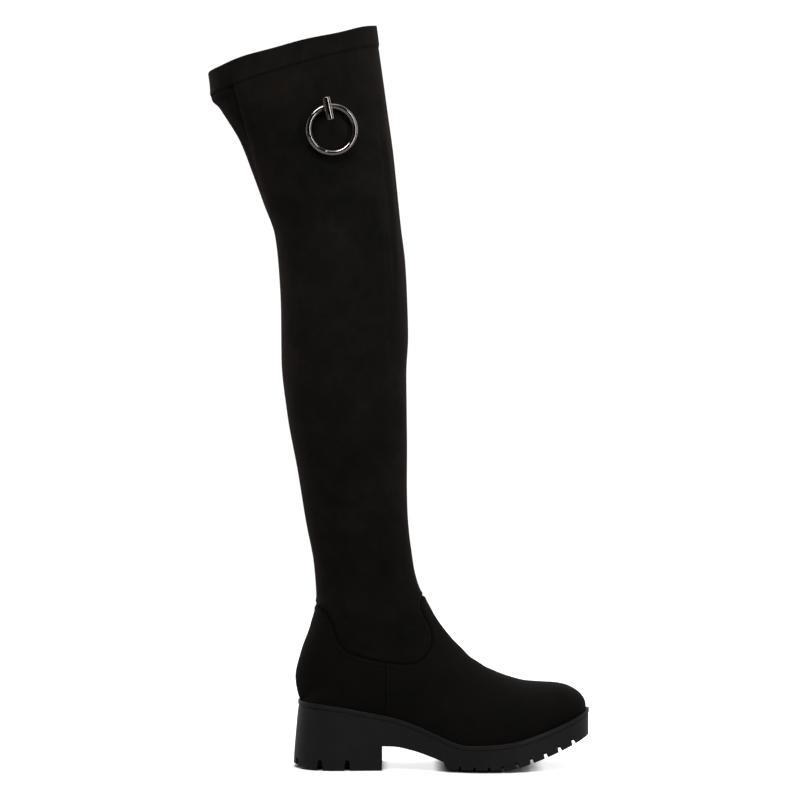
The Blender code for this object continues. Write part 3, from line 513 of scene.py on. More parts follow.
def rib_table():
    """A row for each rib: ridge X and Z, base X and Z, half width, ridge Y, ridge's shift, fullness."""
    rows = []
    for i, (ridge, height, base, half, shift, full) in enumerate(FOOT):
        x, base_x = float(along(ridge)), float(along(base))
        y = float(column(PLAN, 2, ridge)) * TOE_SWING
        z = float(rim_height(x)) + height * (TOE_HEIGHT if i < TOE_RIBS else INSTEP_HEIGHT)
        rows.append((x, z, base_x, float(seat_height(base_x)) + SEAT_GAP, half * ANKLE_WIDTH, y, shift, full))
    bend_z, heel_z = rows[-1][1], rows[-1][3]
    back_rise = bend_z + SHAFT_HEIGHT - COLLAR_DROP - heel_z
    girths = [girth for count, *girth in LEG_GIRTHS for _ in range(count)]
    for (front, back, lean, depth, half), (deep, wide) in zip(LEG, girths):
        middle = ANKLE_X - lean * SHAFT_LEAN
        z, base_z = bend_z + front * SHAFT_HEIGHT, heel_z + back * back_rise
        rows.append((middle + depth * deep / 2, z, middle - depth * deep / 2, base_z, half * wide, 0.0, 0.0, 1.0))
    return np.array(rows)


RIBS = rib_table()


def rib(s, index):
    return through(np.arange(len(RIBS)), RIBS[:, index], s)


def skin(s, t, side):
    """Point of the boot's skin on rib s, at share t of the way from its ridge to its base.

    In side view a rib is a straight line; seen along it, each half is part of an ellipse that ends
    on the sole's edge or, on the leg, at the back."""
    s, t = np.asarray(s, float), np.asarray(t, float)
    ridge_x, ridge_z, base_x, base_z = (rib(s, i) for i in range(4))
    full = rib(s, 7)
    ridge_y = rib(s, 5) + rib(s, 6) * RIDGE_SHIFT
    on_sole = s < HEEL_RIB
    base_z = np.where(on_sole, seat_height(base_x) + SEAT_GAP, base_z)
    outer, inner = plan(base_x, LIP_WIDTH + SEAT_GAP)
    centre = np.where(on_sole, (outer + inner) / 2, 0.0)
    edge = np.where(on_sole, (inner - outer) / 2, 0.0)
    nose = np.clip(1 - s, 0, 1)
    bulge = BULGE * np.clip((ridge_z - base_z) / BULGE_RISE, 0, 1) * (1 - nose)
    wide, least = edge * (1 + NOSE_SPREAD * nose) + bulge, rib(s, 4)
    turn = np.sqrt((wide - least) ** 2 + SOFT_TURN**2 * (least > 0))
    half = np.where(on_sole, (wide + least + turn) / 2, least)
    widest = centre + side * half - ridge_y
    foot = centre + side * edge - ridge_y
    share = np.clip(foot / np.where(np.abs(widest) < TINY, TINY, widest), 0, 1)
    end = np.arcsin(share ** (1 / full))
    end = np.where(nose > 0, end, math.pi - end)
    angle = t * end
    q = (1 - np.cos(angle)) / np.maximum(1 - np.cos(end), TINY)
    x = ridge_x + (base_x - ridge_x) * q
    y = ridge_y + widest * np.sin(angle) ** full
    sag = COLLAR_DIP * np.clip(1 - (COLLAR_RIB - s) / DIP_RIBS, 0, 1)
    z = ridge_z + (base_z - ridge_z) * q - sag * np.sin(angle) * np.cos(angle / 2)
    return np.stack(np.broadcast_arrays(x, y, z), -1)


def skin_normal(s, t, side):
    """Outward normal of the skin: across the rib, times along it; level with the side view at its two ends."""
    inside = np.clip(t, 2 * NEAR, 1 - 2 * NEAR)
    low, high = np.clip(s - NEAR, 0.02, None), np.clip(s + NEAR, 0.02 + 2 * NEAR, COLLAR_RIB)
    up = skin(high, inside, side) - skin(low, inside, side)
    back = skin(s, inside + NEAR, side) - skin(s, inside - NEAR, side)
    normal = np.cross(back, up) * np.asarray(side)[..., None]
    normal[..., 1] *= (inside == t) | (t > 0.5) & (s < HEEL_RIB)
    return normal / np.maximum(np.linalg.norm(normal, axis=-1, keepdims=True), 1e-12)


def soft_skin(s, t, side):
    """The skin, averaged along its ribs around the heel's first rib, so that no edge shows there."""
    reach = 0.9 * np.clip(1 - ((s - HEEL_RIB) / 2.2) ** 2, 0, 1) * np.clip((1 - t) / 0.12, 0, 1)
    weights = ((-1, 0.06), (-0.5, 0.24), (0, 0.40), (0.5, 0.24), (1, 0.06))
    return sum(weight * skin(s + share * reach, t, side) for share, weight in weights)


def traced(places, count):
    """Smooth line of `count` points through places given as pairs: its two columns."""
    knots = np.linspace(0, len(places) - 1, count)
    return [through(range(len(places)), values, knots) for values in zip(*places)]


def with_arc(line_x, line_z):
    """A line's X and Z, with the arc length at each of its points."""
    return line_x, line_z, np.concatenate([[0], np.cumsum(np.hypot(np.diff(line_x), np.diff(line_z)))])


AHEAD, BELOW = traced(SEAM, 420)
SEAM_LINE = with_arc(RIBS[HEEL_RIB][0] + AHEAD * ANKLE_DEPTH, RIBS[HEEL_RIB][1] - BELOW * INSTEP_HEIGHT)


def from_line(x, z, line_x, line_z, line_arc):
    """Signed distance in side view from a line of points, and the arc length of the nearest place.

    The sign is plus to the right of the line's run. Each point takes the nearest of the line's pieces."""
    best = np.full(x.shape, 1e9)
    signed, arc = np.zeros(x.shape), np.zeros(x.shape)
    for i in range(len(line_x) - 1):
        run_x, run_z = line_x[i + 1] - line_x[i], line_z[i + 1] - line_z[i]
        length = math.hypot(run_x, run_z)
        dx, dz = x - line_x[i], z - line_z[i]
        u = np.clip((dx * run_x + dz * run_z) / length**2, 0, 1)
        away = np.hypot(dx - u * run_x, dz - u * run_z)
        nearer = away < best
        best = np.where(nearer, away, best)
        signed = np.where(nearer, away * np.sign(run_z * dx - run_x * dz), signed)
        arc = np.where(nearer, line_arc[i] + u * length, arc)
    return signed, arc


def clipped(points, faces, field, *carried):
    """Keeps the part of a triangle mesh where `field` is above zero, cut along its zero line.

    Corners of a crossed triangle are joined to the places on its sides where the field is zero."""
    values = [points, *carried]
    sign = field > 0
    inside = sign[faces].sum(1)
    kept = [faces[inside == 3]]
    extra, count = [[] for _ in values], len(points)
    for lone, flip in ((1, True), (2, False)):
        chosen = faces[inside == lone]
        if not len(chosen):
            continue
        odd = np.argmax(sign[chosen] if flip else ~sign[chosen], axis=1)
        row = np.arange(len(chosen))
        a, b, c = chosen[row, odd], chosen[row, (odd + 1) % 3], chosen[row, (odd + 2) % 3]
        share_b = (field[a] / (field[a] - field[b]))[:, None]
        share_c = (field[a] / (field[a] - field[c]))[:, None]
        for store, value in zip(extra, values):
            store.append(value[a] + (value[b] - value[a]) * share_b)
            store.append(value[a] + (value[c] - value[a]) * share_c)
        new_b, new_c = count + row, count + len(chosen) + row
        count += 2 * len(chosen)
        if flip:
            kept.append(np.stack([a, new_b, new_c], 1))
        else:
            kept.append(np.stack([new_b, b, c], 1))
            kept.append(np.stack([new_b, c, new_c], 1))
    values = [np.concatenate([value, *store]) for value, store in zip(values, extra)]
    faces = np.concatenate(kept)
    used, faces = np.unique(faces, return_inverse=True)
    return [value[used] for value in values], faces.reshape(-1, 3)


def skin_grid(rows, columns):
    """Ribs and shares on a grid that runs from the back of the outer side over the front to the inner side."""
    places = np.linspace(-1, 1, 2 * columns + 1)
    s, u = np.meshgrid(rows, places, indexing="ij")
    return s, np.abs(u), np.where(u > 0, 1.0, -1.0)


def grid_triangles(rows, across):
    """Two triangles for each cell of a grid, facing outward."""
    a = (np.arange(rows - 1)[:, None] * across + np.arange(across - 1)).ravel()
    return np.concatenate([np.stack([a, a + 1, a + across + 1], 1), np.stack([a, a + across + 1, a + across], 1)])


def uv_layer(made, name, values):
    """Writes two numbers per point into a UV map, which the material's seam pattern reads."""
    layer = made.data.uv_layers.new(name=name)
    corner = np.empty(len(made.data.loops), dtype=np.int32)
    made.data.loops.foreach_get("vertex_index", corner)
    layer.data.foreach_set("uv", values[corner].astype(np.float32).ravel())


SIDE_SEAM_X = 0.0425  # side seam of the foot upper, which runs straight down from the U
SEAM_GROOVE, SEAM_SPREAD = 0.0008, 0.0009  # how deep a turned seam pulls the cloth in, and its half width
SEAM_ROLL, ROLL_AWAY, ROLL_SPREAD = 0.0005, 0.0026, 0.0012  # roll beside it: height, distance, half width
SEAM_LOW, SEAM_HIGH = HEEL_RIB - 6, HEEL_RIB + 6  # ribs that the U seam lies between
SEAM_WELD = 5e-5
PUCKER_PITCH = 0.0038
SHEEN_TINT = "#c99a94"


def bell(distance, height, spread):
    """Soft ridge, or furrow if the height is below zero: height times exp(-(distance / spread)^2)."""
    return height * np.exp(-((distance / spread) ** 2))


def toward_seam(points):
    """Depth of the U seam's groove and, beyond it, the low roll of cloth that the turned edge props up."""
    distance, arc = from_line(points[..., 0], points[..., 2], *SEAM_LINE)
    roll = bell(np.abs(distance) - ROLL_AWAY, SEAM_ROLL, ROLL_SPREAD)
    return bell(distance, -SEAM_GROOVE, SEAM_SPREAD) + roll, distance, arc


def foot_relief(points, t, side):
    """Height that the upper's own relief adds: side seam, flex creases over the ball and a soft unevenness."""
    x, y, z = points[..., 0], points[..., 1], points[..., 2]
    below = np.clip((0.093 - z) / 0.004, 0, 1)
    height = bell(x - SIDE_SEAM_X, -0.0006, 0.0008) * below
    height += bell(x - SIDE_SEAM_X - 0.0022, 0.00025, 0.0012) * below
    over = np.exp(-((t / 0.30) ** 2))
    for place, depth, width in ((0.128, 0.0004, 0.0040), (0.114, 0.0005, 0.0045), (0.099, 0.0004, 0.0050)):
        bend = place + 0.10 * (z - 0.07) + 0.12 * np.abs(y)
        height += bell(x - bend, -depth, width) * over
    wave = np.sin(x / 0.0210 + 3.1 * t) * np.sin(z / 0.0170 + 1.3 * side) + 0.5 * np.sin(x / 0.011 - z / 0.014)
    return height + 0.00016 * wave * np.clip(t / 0.1, 0, 1) * np.clip((1 - t) / 0.15, 0, 1)


def napped_cloth(name, dark, light, tint, sheen, mottle, side_seam=None):
    """Microsuede: cut polyester pile 0.2 mm deep, raised by brushing.

    The pile swallows light face on and scatters it at a glancing angle, so the colour is nearly black
    and a sheen lies along the edges. The nap is drawn 0.9 mm coarse, since its fibres are far finer
    than a pixel. Near a seam the UV map named Seam holds arc length and distance, for the puckers. On
    the foot a line beside the side seam is a painted highlight. The shaft, which has no side seam, is
    painted darker toward the ankle: a painted shade for the light that falls off down the leg."""
    made = new_material(name)
    place = add(made, "ShaderNodeTexCoord", out="Object")
    brushed = add(made, "ShaderNodeMapping", {"Vector": place, "Scale": (1.0, 1.0, 0.45)})
    cloud = add(made, "ShaderNodeTexNoise", {"Vector": place, "Scale": 1 / mottle, "Detail": 3.0,
                                             "Roughness": 0.6, "Distortion": 0.3})
    drift = add(made, "ShaderNodeTexNoise", {"Vector": place, "Scale": 1 / (3.5 * mottle), "Detail": 1.0})
    nap = add(made, "ShaderNodeTexNoise", {"Vector": brushed, "Scale": 1 / 0.0009, "Detail": 3.0, "Roughness": 0.7})
    fleck = add(made, "ShaderNodeTexNoise", {"Vector": place, "Scale": 1 / 0.0021, "Detail": 1.0})
    blend = add(made, "ShaderNodeMath", {0: cloud, 1: drift}, operation="ADD")
    spread = add(made, "ShaderNodeMapRange", {"Value": blend, "From Min": 0.68, "From Max": 1.32})
    tone = add(made, "ShaderNodeMix", {"Factor": spread, "A": hex_colour(dark), "B": hex_colour(light)},
               data_type="RGBA")
    seam = add(made, "ShaderNodeUVMap", uv_map="Seam")
    arc, distance = (add(made, "ShaderNodeSeparateXYZ", {0: seam}, axis) for axis in "XY")
    shade = add(made, "ShaderNodeMapRange", {"Value": distance, "From Min": 0.0002, "From Max": 0.0011,
                                             "To Min": 0.35, "To Max": 1.0})
    if side_seam is not None:
        ahead = add(made, "ShaderNodeSeparateXYZ", {0: place}, "X")
        # The side seam itself is a dark joint; the line 1.7 mm ahead of it is a painted highlight, 1.45 times
        # lighter, along the roll of cloth beside the seam.
        for middle, near, width in ((side_seam, 0.4, 0.0008), (side_seam + 0.0017, 1.45, 0.0009)):
            away = add(made, "ShaderNodeMath", {0: ahead, 1: middle}, operation="SUBTRACT")
            away = add(made, "ShaderNodeMath", {0: away}, operation="ABSOLUTE")
            line = add(made, "ShaderNodeMapRange", {"Value": away, "From Min": 0.0002, "From Max": width,
                                                    "To Min": near, "To Max": 1.0})
            shade = add(made, "ShaderNodeMath", {0: shade, 1: line}, operation="MULTIPLY")
    else:
        # Painted shade: below 0.36 m the shaft's colour is darkened toward the ankle, down to 0.68 at 0.10 m, for
        # the light that falls off down the leg.
        high = add(made, "ShaderNodeSeparateXYZ", {0: place}, "Z")
        painted_ankle_shade = add(made, "ShaderNodeMapRange", {"Value": high, "From Min": 0.10, "From Max": 0.36,
                                                 "To Min": 0.68, "To Max": 1.0})
        shade = add(made, "ShaderNodeMath", {0: shade, 1: painted_ankle_shade}, operation="MULTIPLY")
    tone = add(made, "ShaderNodeMix", {"Factor": 1.0, "A": tone, "B": shade}, data_type="RGBA",
               blend_type="MULTIPLY")
    ripple = add(made, "ShaderNodeMath", {0: arc, 1: 6.2832 / PUCKER_PITCH}, operation="MULTIPLY")
    ripple = add(made, "ShaderNodeMath", {0: ripple}, operation="SINE")
    fade = add(made, "ShaderNodeMapRange", {"Value": distance, "From Min": 0.0, "From Max": 0.009,
                                            "To Min": 0.00012, "To Max": 0.0}, interpolation_type="SMOOTHSTEP")
    pucker = add(made, "ShaderNodeMath", {0: ripple, 1: fade}, operation="MULTIPLY")
    pile = add(made, "ShaderNodeMath", {0: nap, 1: 0.00013}, operation="MULTIPLY")
    coarse = add(made, "ShaderNodeMath", {0: fleck, 1: 0.00010, 2: pile}, operation="MULTIPLY_ADD")
    height = add(made, "ShaderNodeMath", {0: coarse, 1: pucker}, operation="ADD")
    relief = add(made, "ShaderNodeBump", {"Height": height, "Strength": 0.8, "Distance": 1.0})
    return shaded(made, {"Base Color": tone, "Normal": relief, "Roughness": 0.95, "Specular IOR Level": 0.08,
                         "Sheen Weight": sheen, "Sheen Roughness": 0.42, "Sheen Tint": hex_colour(tint)})


FOOT_CLOTH = napped_cloth("black microsuede, foot", "#0b0c0a", "#13100e", SHEEN_TINT, 0.028, 0.008, SIDE_SEAM_X)


def seamed(name, points, inward, arc, cloth):
    """Cloth from a grid of points, cut along the U seam, where `inward` is zero.

    The UV map named Seam holds the arc length along the seam and the distance in from it."""
    marks = np.stack([arc.ravel(), inward.ravel()], 1)
    (flat, marks), faces = clipped(points.reshape(-1, 3), grid_triangles(*inward.shape), inward.ravel(), marks)
    made = mesh_piece(name, flat, faces, [cloth])
    uv_layer(made, "Seam", marks)
    return smooth(welded(made, SEAM_WELD, outward=False), 60)


def foot_upper():
    """Skin from the toe to above the bend, with its relief, cut at the seam."""
    rows = np.concatenate([np.linspace(0, 1, 16)[:-1], np.linspace(1, HEEL_RIB, 150)[:-1],
                           np.linspace(HEEL_RIB, HEEL_RIB + 5, 70)])
    s, t, side = skin_grid(rows, 110)
    base = soft_skin(s, t, side)
    depth, distance, arc = toward_seam(base)
    height = depth + foot_relief(base, t, side)
    return seamed("foot_upper", base + height[..., None] * skin_normal(s, t, side), -distance, arc, FOOT_CLOTH)


vamp = foot_upper()
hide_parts("upper")
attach(vamp, "boot")

# Shaft
# Stretch microsuede on a knit back, a tube that is seamed down its back and let into the upper. Its
# collar is turned in 19 mm and held by one row of lockstitch, which draws a shallow line round it.
# Behind the ring the tube is folded in slightly along its back, and long faint ridges run down its
# front edge, where the cloth was pressed flat in the box.
SHAFT_CLOTH = napped_cloth("black stretch microsuede, shaft", "#0d0e0c", "#1b1714", SHEEN_TINT, 0.052, 0.0125)

STITCH_DRAW, DRAW_SPREAD = 0.0005, 0.0011  # how deep the stitches draw the cloth in, and its half width
STEP_SPREAD = 0.0016
LAST_RIB_STEP = 0.022  # way up the leg between the last two ribs below the hem
COLLAR_WAVER = 0.0005
BACK_BULGE, BULGE_SPREAD = 0.0022, 9 / 21  # swell at the back under the hem, its spread in ribs
BACK_SEAM, BACK_SEAM_SPREAD, HALF_GIRTH = 0.0007, 0.0011, 0.16
FOLD_DEPTH, FOLD_RETURN = 0.0040, 0.010  # depth of the fold and the way over which the cloth comes back

# Lines on the outer side in side view. Each place is a share of the collar's depth ahead of the ankle's
# middle and a share of the shaft's height above the bend. A crease has its height and half width first.
FOLD = (
    (-0.760, 0.945), (-0.744, 0.886), (-0.715, 0.849), (-0.668, 0.797), (-0.621, 0.745), (-0.574, 0.693),
    (-0.520, 0.640),
)
CREASES = (
    (0.0012, 0.0055, ((-0.715, 0.940), (-0.690, 0.886), (-0.655, 0.835), (-0.600, 0.765), (-0.545, 0.700),
                      (-0.490, 0.640))),
    (0.0006, 0.0020, ((0.115, 0.930), (0.152, 0.800), (0.192, 0.700), (0.222, 0.560), (0.214, 0.420))),
    (-0.0005, 0.0015, ((0.085, 0.900), (0.128, 0.780), (0.168, 0.680), (0.196, 0.560), (0.186, 0.430))),
    (0.0004, 0.0014, ((0.060, 0.740), (0.110, 0.660), (0.140, 0.560), (0.138, 0.450))),
    (-0.0004, 0.0014, ((0.155, 0.620), (0.176, 0.520), (0.170, 0.420), (0.150, 0.330))),
    (0.0010, 0.0150, ((-0.330, 0.830), (-0.240, 0.720), (-0.180, 0.600), (-0.130, 0.470), (-0.060, 0.330))),
    (-0.0012, 0.0140, ((-0.120, 0.860), (-0.060, 0.730), (-0.020, 0.600), (0.020, 0.460), (0.060, 0.320))),
    (-0.0011, 0.0120, ((-0.560, 0.780), (-0.430, 0.800), (-0.300, 0.845), (-0.160, 0.850))),
    (0.0009, 0.0110, ((-0.420, 0.480), (-0.320, 0.500), (-0.200, 0.540), (-0.080, 0.600))),
    (-0.0009, 0.0090, ((-0.400, 0.420), (-0.300, 0.440), (-0.180, 0.470), (-0.050, 0.520))),
    (-0.0007, 0.0070, ((-0.360, 0.180), (-0.200, 0.150), (-0.050, 0.150), (0.120, 0.175))),
    (0.0006, 0.0080, ((-0.350, 0.120), (-0.200, 0.100), (-0.060, 0.100), (0.110, 0.120))),
)


def crease_line(line):
    """X, Z and arc length along a line given by shares of the collar's depth and of the shaft's height."""
    ahead, above = traced(line, 40)
    return with_arc(ANKLE_X + COLLAR_DEPTH * ahead, RIBS[HEEL_RIB][1] + SHAFT_HEIGHT * above)


def eased(u):
    """Soft step from 0 to 1: 3u^2 - 2u^3."""
    u = np.clip(u, 0, 1)
    return u**2 * (3 - 2 * u)


def crease_relief(points, s):
    """Sum of the creases on the outer side alone, faded out over the hem.

    Each crease is its height times a bell across its line, fading at both ends. The fold behind the
    ring is a soft step instead: the cloth behind its line lies lower and comes back up towards the back."""
    x, y, z = points[..., 0], points[..., 1], points[..., 2]
    total = np.zeros(x.shape)
    outer_side = np.clip((-y - 0.004) / 0.010, 0, 1)
    for height, spread, line in CREASES:
        path = crease_line(line)
        distance, place = from_line(x, z, *path)
        share = place / path[-1][-1]
        ends = eased(np.clip(share / 0.25, 0, 1) * np.clip((1 - share) / 0.35, 0, 1))
        total += bell(distance, height, spread) * ends * outer_side
    path = crease_line(FOLD)
    distance, place = from_line(x, z, *path)
    share = place / path[-1][-1]
    lower = eased((distance + 0.0012) / 0.0026) * np.exp(-np.clip(distance, 0, None) / FOLD_RETURN)
    ends = np.clip((1 - share) / 0.5, 0, 1) * (0.5 + 0.5 * np.clip(share / 0.2, 0, 1))
    return (total - FOLD_DEPTH * lower * ends * outer_side) * eased((HEM_RIB + 0.9 - s) / 1.6)


def shaft_relief(points, s, t, side):
    """Low swell of a soft tube, the back seam's groove, the bulge where the hem turns it and the creases."""
    x, z = points[..., 0], points[..., 2]
    wave = np.sin(z / 0.031 + 2.2 * side * t) * np.sin(t * 7.0 + z / 0.074 + side)
    wave = wave + 0.5 * np.sin(z / 0.017 + x / 0.023)
    calm = np.clip((HEM_RIB - s) / 1.5, 0, 1) * np.clip(t / 0.1, 0, 1) * np.clip((1 - t) / 0.12, 0, 1)
    back = bell((1 - t) * HALF_GIRTH, -BACK_SEAM, BACK_SEAM_SPREAD) * np.clip(s - HEEL_RIB - 2, 0, 1)
    bulge = bell(s - HEM_RIB + 0.15, BACK_BULGE, BULGE_SPREAD) * np.clip((t - 0.7) / 0.3, 0, 1) ** 2
    return 0.00032 * wave * calm + back + bulge + crease_relief(points, s)


def hem_rows():
    """Rows of the collar: rib, lift over the skin and rise past the rib's end.

    The hem steps out of the stitched line, goes up, rounds the rim as a half circle and comes down
    inside to the turned edge."""
    half = (SHAFT_WALL + HEM_STEP) / 2
    out = []
    for share in np.linspace(0, 1, 26)[1:]:
        above = share * HEM_DEPTH
        lift = bell(above, -STITCH_DRAW, DRAW_SPREAD) + HEM_STEP - bell(above, HEM_STEP, STEP_SPREAD)
        out.append((HEM_RIB + share, lift, -half * share))
    for angle in np.linspace(0, math.pi, 9)[1:]:
        out.append((COLLAR_RIB, HEM_STEP - half * (1 - math.cos(angle)), half * (math.sin(angle) - 1)))
    for drop in np.linspace(0, HEM_DEPTH, 9)[1:]:
        out.append((COLLAR_RIB, -SHAFT_WALL, -half - drop))
    out.append((COLLAR_RIB, 0.0008 - SHAFT_WALL, -half - HEM_DEPTH - 0.0004))
    return out


def shaft_tube():
    """Skin from the seam to the hem's line, then the hem's rows, all on one grid."""
    leg = np.concatenate([np.linspace(SEAM_LOW, HEEL_RIB + 4, 80)[:-1], np.linspace(HEEL_RIB + 4, HEM_RIB, 210)])
    hem_rib, hem_lift, hem_rise = np.array(hem_rows()).T
    s, t, side = skin_grid(np.concatenate([leg, hem_rib]), 118)
    drawn = bell((HEM_RIB - leg) * LAST_RIB_STEP, -STITCH_DRAW, DRAW_SPREAD)
    lift = np.concatenate([drawn, hem_lift])[:, None]
    place = side * t
    waver = COLLAR_WAVER * (np.sin(9 * place + 1) + 0.7 * np.sin(25 * place)) * np.clip(s - HEM_RIB, 0, 1) ** 2
    rise = np.concatenate([np.zeros(len(leg)), hem_rise])[:, None] + waver
    base = soft_skin(s, t, side)
    held = np.minimum(s, COLLAR_RIB)
    up = skin(held, t, side) - skin(held - 0.05, t, side)
    up = up / np.linalg.norm(up, axis=-1, keepdims=True)
    depth, distance, arc = toward_seam(base)
    low = s < SEAM_HIGH
    height = depth * low + shaft_relief(base, s, t, side) + lift
    normal = skin_normal(np.minimum(s, COLLAR_RIB - 2 * NEAR), t, side)
    points = base + height[..., None] * normal + rise[..., None] * up
    return seamed("shaft_tube", points, np.where(low, distance, 1.0), arc, SHAFT_CLOTH)


tube = shaft_tube()
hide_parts("shaft")
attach(tube, "boot")

# Lining
# The knit back of the shaft and the foot's lining, one dark skin inside, seen through the collar.
# It lies against the outer cloth and ends under the turned hem.

# Brushed knit with vertical wales, drawn 3 mm apart, coarser than the real 0.7 mm, so that they show
BRUSHED_KNIT = ribbed_knit("black brushed knit", ("#171514", "#221f1d"), half_pitch=0.0015, bands="X", waver=1.5,
                           waver_scale=3.0, strength=0.4, depth=0.0003, roughness=0.95, specular=0.2)


def lining():
    """The skin again, one wall inside, from the toe to under the hem, with its faces turned inward."""
    rows = np.concatenate([np.linspace(0.6, HEEL_RIB, 60)[:-1], np.linspace(HEEL_RIB, HEM_RIB + 0.1, 90)])
    s, t, side = skin_grid(rows, 40)
    wall = np.interp(s, [0, 4, HEEL_RIB - 4, HEEL_RIB + 4], [0.0012, UPPER_WALL, UPPER_WALL, SHAFT_WALL])
    base = soft_skin(s, t, side)
    height = crease_relief(base, s) - wall
    points = base + height[..., None] * skin_normal(s, t, side)
    made = mesh_piece("lining", points.reshape(-1, 3), grid_triangles(*s.shape)[:, ::-1], [BRUSHED_KNIT])
    return smooth(welded(made, 2e-6, outward=False), 60)


inner = lining()
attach(inner, "boot")

# Hem stitching
# One row of lockstitch round the collar in black polyester thread, 3.4 mm to the stitch. Each stitch is
# a short bead that dips into the cloth at both ends.
THREAD = 0.00035
STITCH, STITCH_SHARE = 0.0034, 0.66  # pitch, and the share of it that shows


def polyester_thread():
    """Twisted polyester: a little glossier than the nap, so that the row just shows."""
    made = new_material("black polyester thread")
    place = add(made, "ShaderNodeTexCoord", out="Object")
    twist = add(made, "ShaderNodeTexNoise", {"Vector": place, "Scale": 1 / 0.0006, "Detail": 1.0})
    tone = add(made, "ShaderNodeMix", {"Factor": twist, "A": hex_colour("#11100f"), "B": hex_colour("#1b1a18")},
               data_type="RGBA")
    return shaded(made, {"Base Color": tone, "Roughness": 0.8, "Specular IOR Level": 0.3})


THREAD_FINISH = polyester_thread()


def resampled(path, normals, pitch):
    """Middles of the stitches along a path, with run and outward directions there."""
    arc = np.concatenate([[0], np.cumsum(np.linalg.norm(np.diff(path, axis=0), axis=1))])
    read = lambda at, values: np.stack([np.interp(at, arc, values[:, i]) for i in range(3)], 1)
    count = int(arc[-1] / pitch)
    at = (np.arange(count) + 0.5) * arc[-1] / count
    middle, out = read(at, path), read(at, normals)
    ahead = read(at + pitch / 4, path) - read(at - pitch / 4, path)
    ahead /= np.linalg.norm(ahead, axis=1, keepdims=True)
    out -= (out * ahead).sum(1, keepdims=True) * ahead
    return middle, ahead, out / np.linalg.norm(out, axis=1, keepdims=True)


def stitch_row(name, path, normals):
    """Beads along a path: each is a tube of six sides whose thickness and height follow its run."""
    middle, ahead, out = resampled(path, normals, STITCH)
    across = np.cross(out, ahead)
    run = np.linspace(-1, 1, 7)
    thick = THREAD * np.sqrt(np.clip(1 - run**4, 0, 1)) + 1e-6
    lift = THREAD * (0.9 - 1.3 * run**2)
    ring = np.linspace(0, 2 * math.pi, 7)[:-1]
    local = np.stack(np.broadcast_arrays(
        (run * STITCH_SHARE * STITCH / 2)[:, None], thick[:, None] * np.cos(ring),
        lift[:, None] + thick[:, None] * np.sin(ring)
    ), -1).reshape(-1, 3)
    points = (middle[:, None] + local[None, :, :1] * ahead[:, None] + local[None, :, 1:2] * across[:, None]
              + local[None, :, 2:] * out[:, None])
    faces = (loft_faces(7, 6)[None] + (np.arange(len(middle)) * len(local))[:, None, None]).reshape(-1, 4)
    return smooth(welded(mesh_piece(name, points.reshape(-1, 3), faces, [THREAD_FINISH]), 1e-7), 80)


def collar_path(s, lift):
    """Closed path round the leg on rib s, lifted off the skin, and its outward directions."""
    _, t, side = skin_grid(np.array([s]), 160)
    t, side = t[0], side[0]
    s = np.full(t.shape, float(s))
    out = skin_normal(s, t, side)
    base = skin(s, t, side)
    return base + (lift + shaft_relief(base, s, t, side))[:, None] * out, out


hem_thread = stitch_row("hem_stitching", *collar_path(HEM_RIB + 0.01, -0.0004))
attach(hem_thread, "boot")

# Bar stud
# Die-cast bar on a post, plated in dark nickel and polished. The post goes through the shaft to a
# plate inside; the ring hangs on it behind the bar.
RING_RADIUS, RING_WIRE = 0.0201, 0.0051
BAR_LENGTH, BAR_DIAMETER, BAR_LIFT, BAR_EDGE = 0.0198, 0.0068, 0.0018, 0.0007
POST_DIAMETER = 0.0024
STUD_TILT, RING_TILT = math.radians(12), math.radians(14)
BACK_PLATE, BACK_PLATE_THICKNESS = 0.008, 0.0008
STUD_RIB, STUD_ROUND = 34.18, 0.428  # the rib that it sits on, and its share of the way round


def stud_place(height, tilt=STUD_TILT, rise=0.0):
    """Matrix over the shaft, with Z along the post, outward, and Y along the bar."""
    s, t, side = np.array([STUD_RIB]), np.array([STUD_ROUND]), np.array([-1.0])
    foot, out = Vector(skin(s, t, side)[0]), Vector(skin_normal(s, t, side)[0])
    up = Vector((-math.sin(tilt), 0, math.cos(tilt)))
    up = (up - up.dot(out) * out).normalized()
    turn = Matrix((up.cross(out), up, out)).transposed().to_4x4()
    return Matrix.Translation(foot + height * out + rise * up) @ turn


def placed(points, place):
    """Points moved by a matrix."""
    return points.reshape(-1, 3) @ np.array(place.to_3x3()).T + np.array(place.translation)


def lathe(name, profile, place, finish, segments=64):
    """Profile of radius and height turned about the place's Z."""
    profile = np.array(profile)
    turn = np.linspace(0, 2 * math.pi, segments, endpoint=False)
    radius, height = profile[:, :1], profile[:, 1:]
    points = np.stack(np.broadcast_arrays(radius * np.cos(turn), radius * np.sin(turn), height), -1)
    return welded(mesh_piece(name, placed(points, place), loft_faces(len(profile), segments), [finish]), 1e-7)


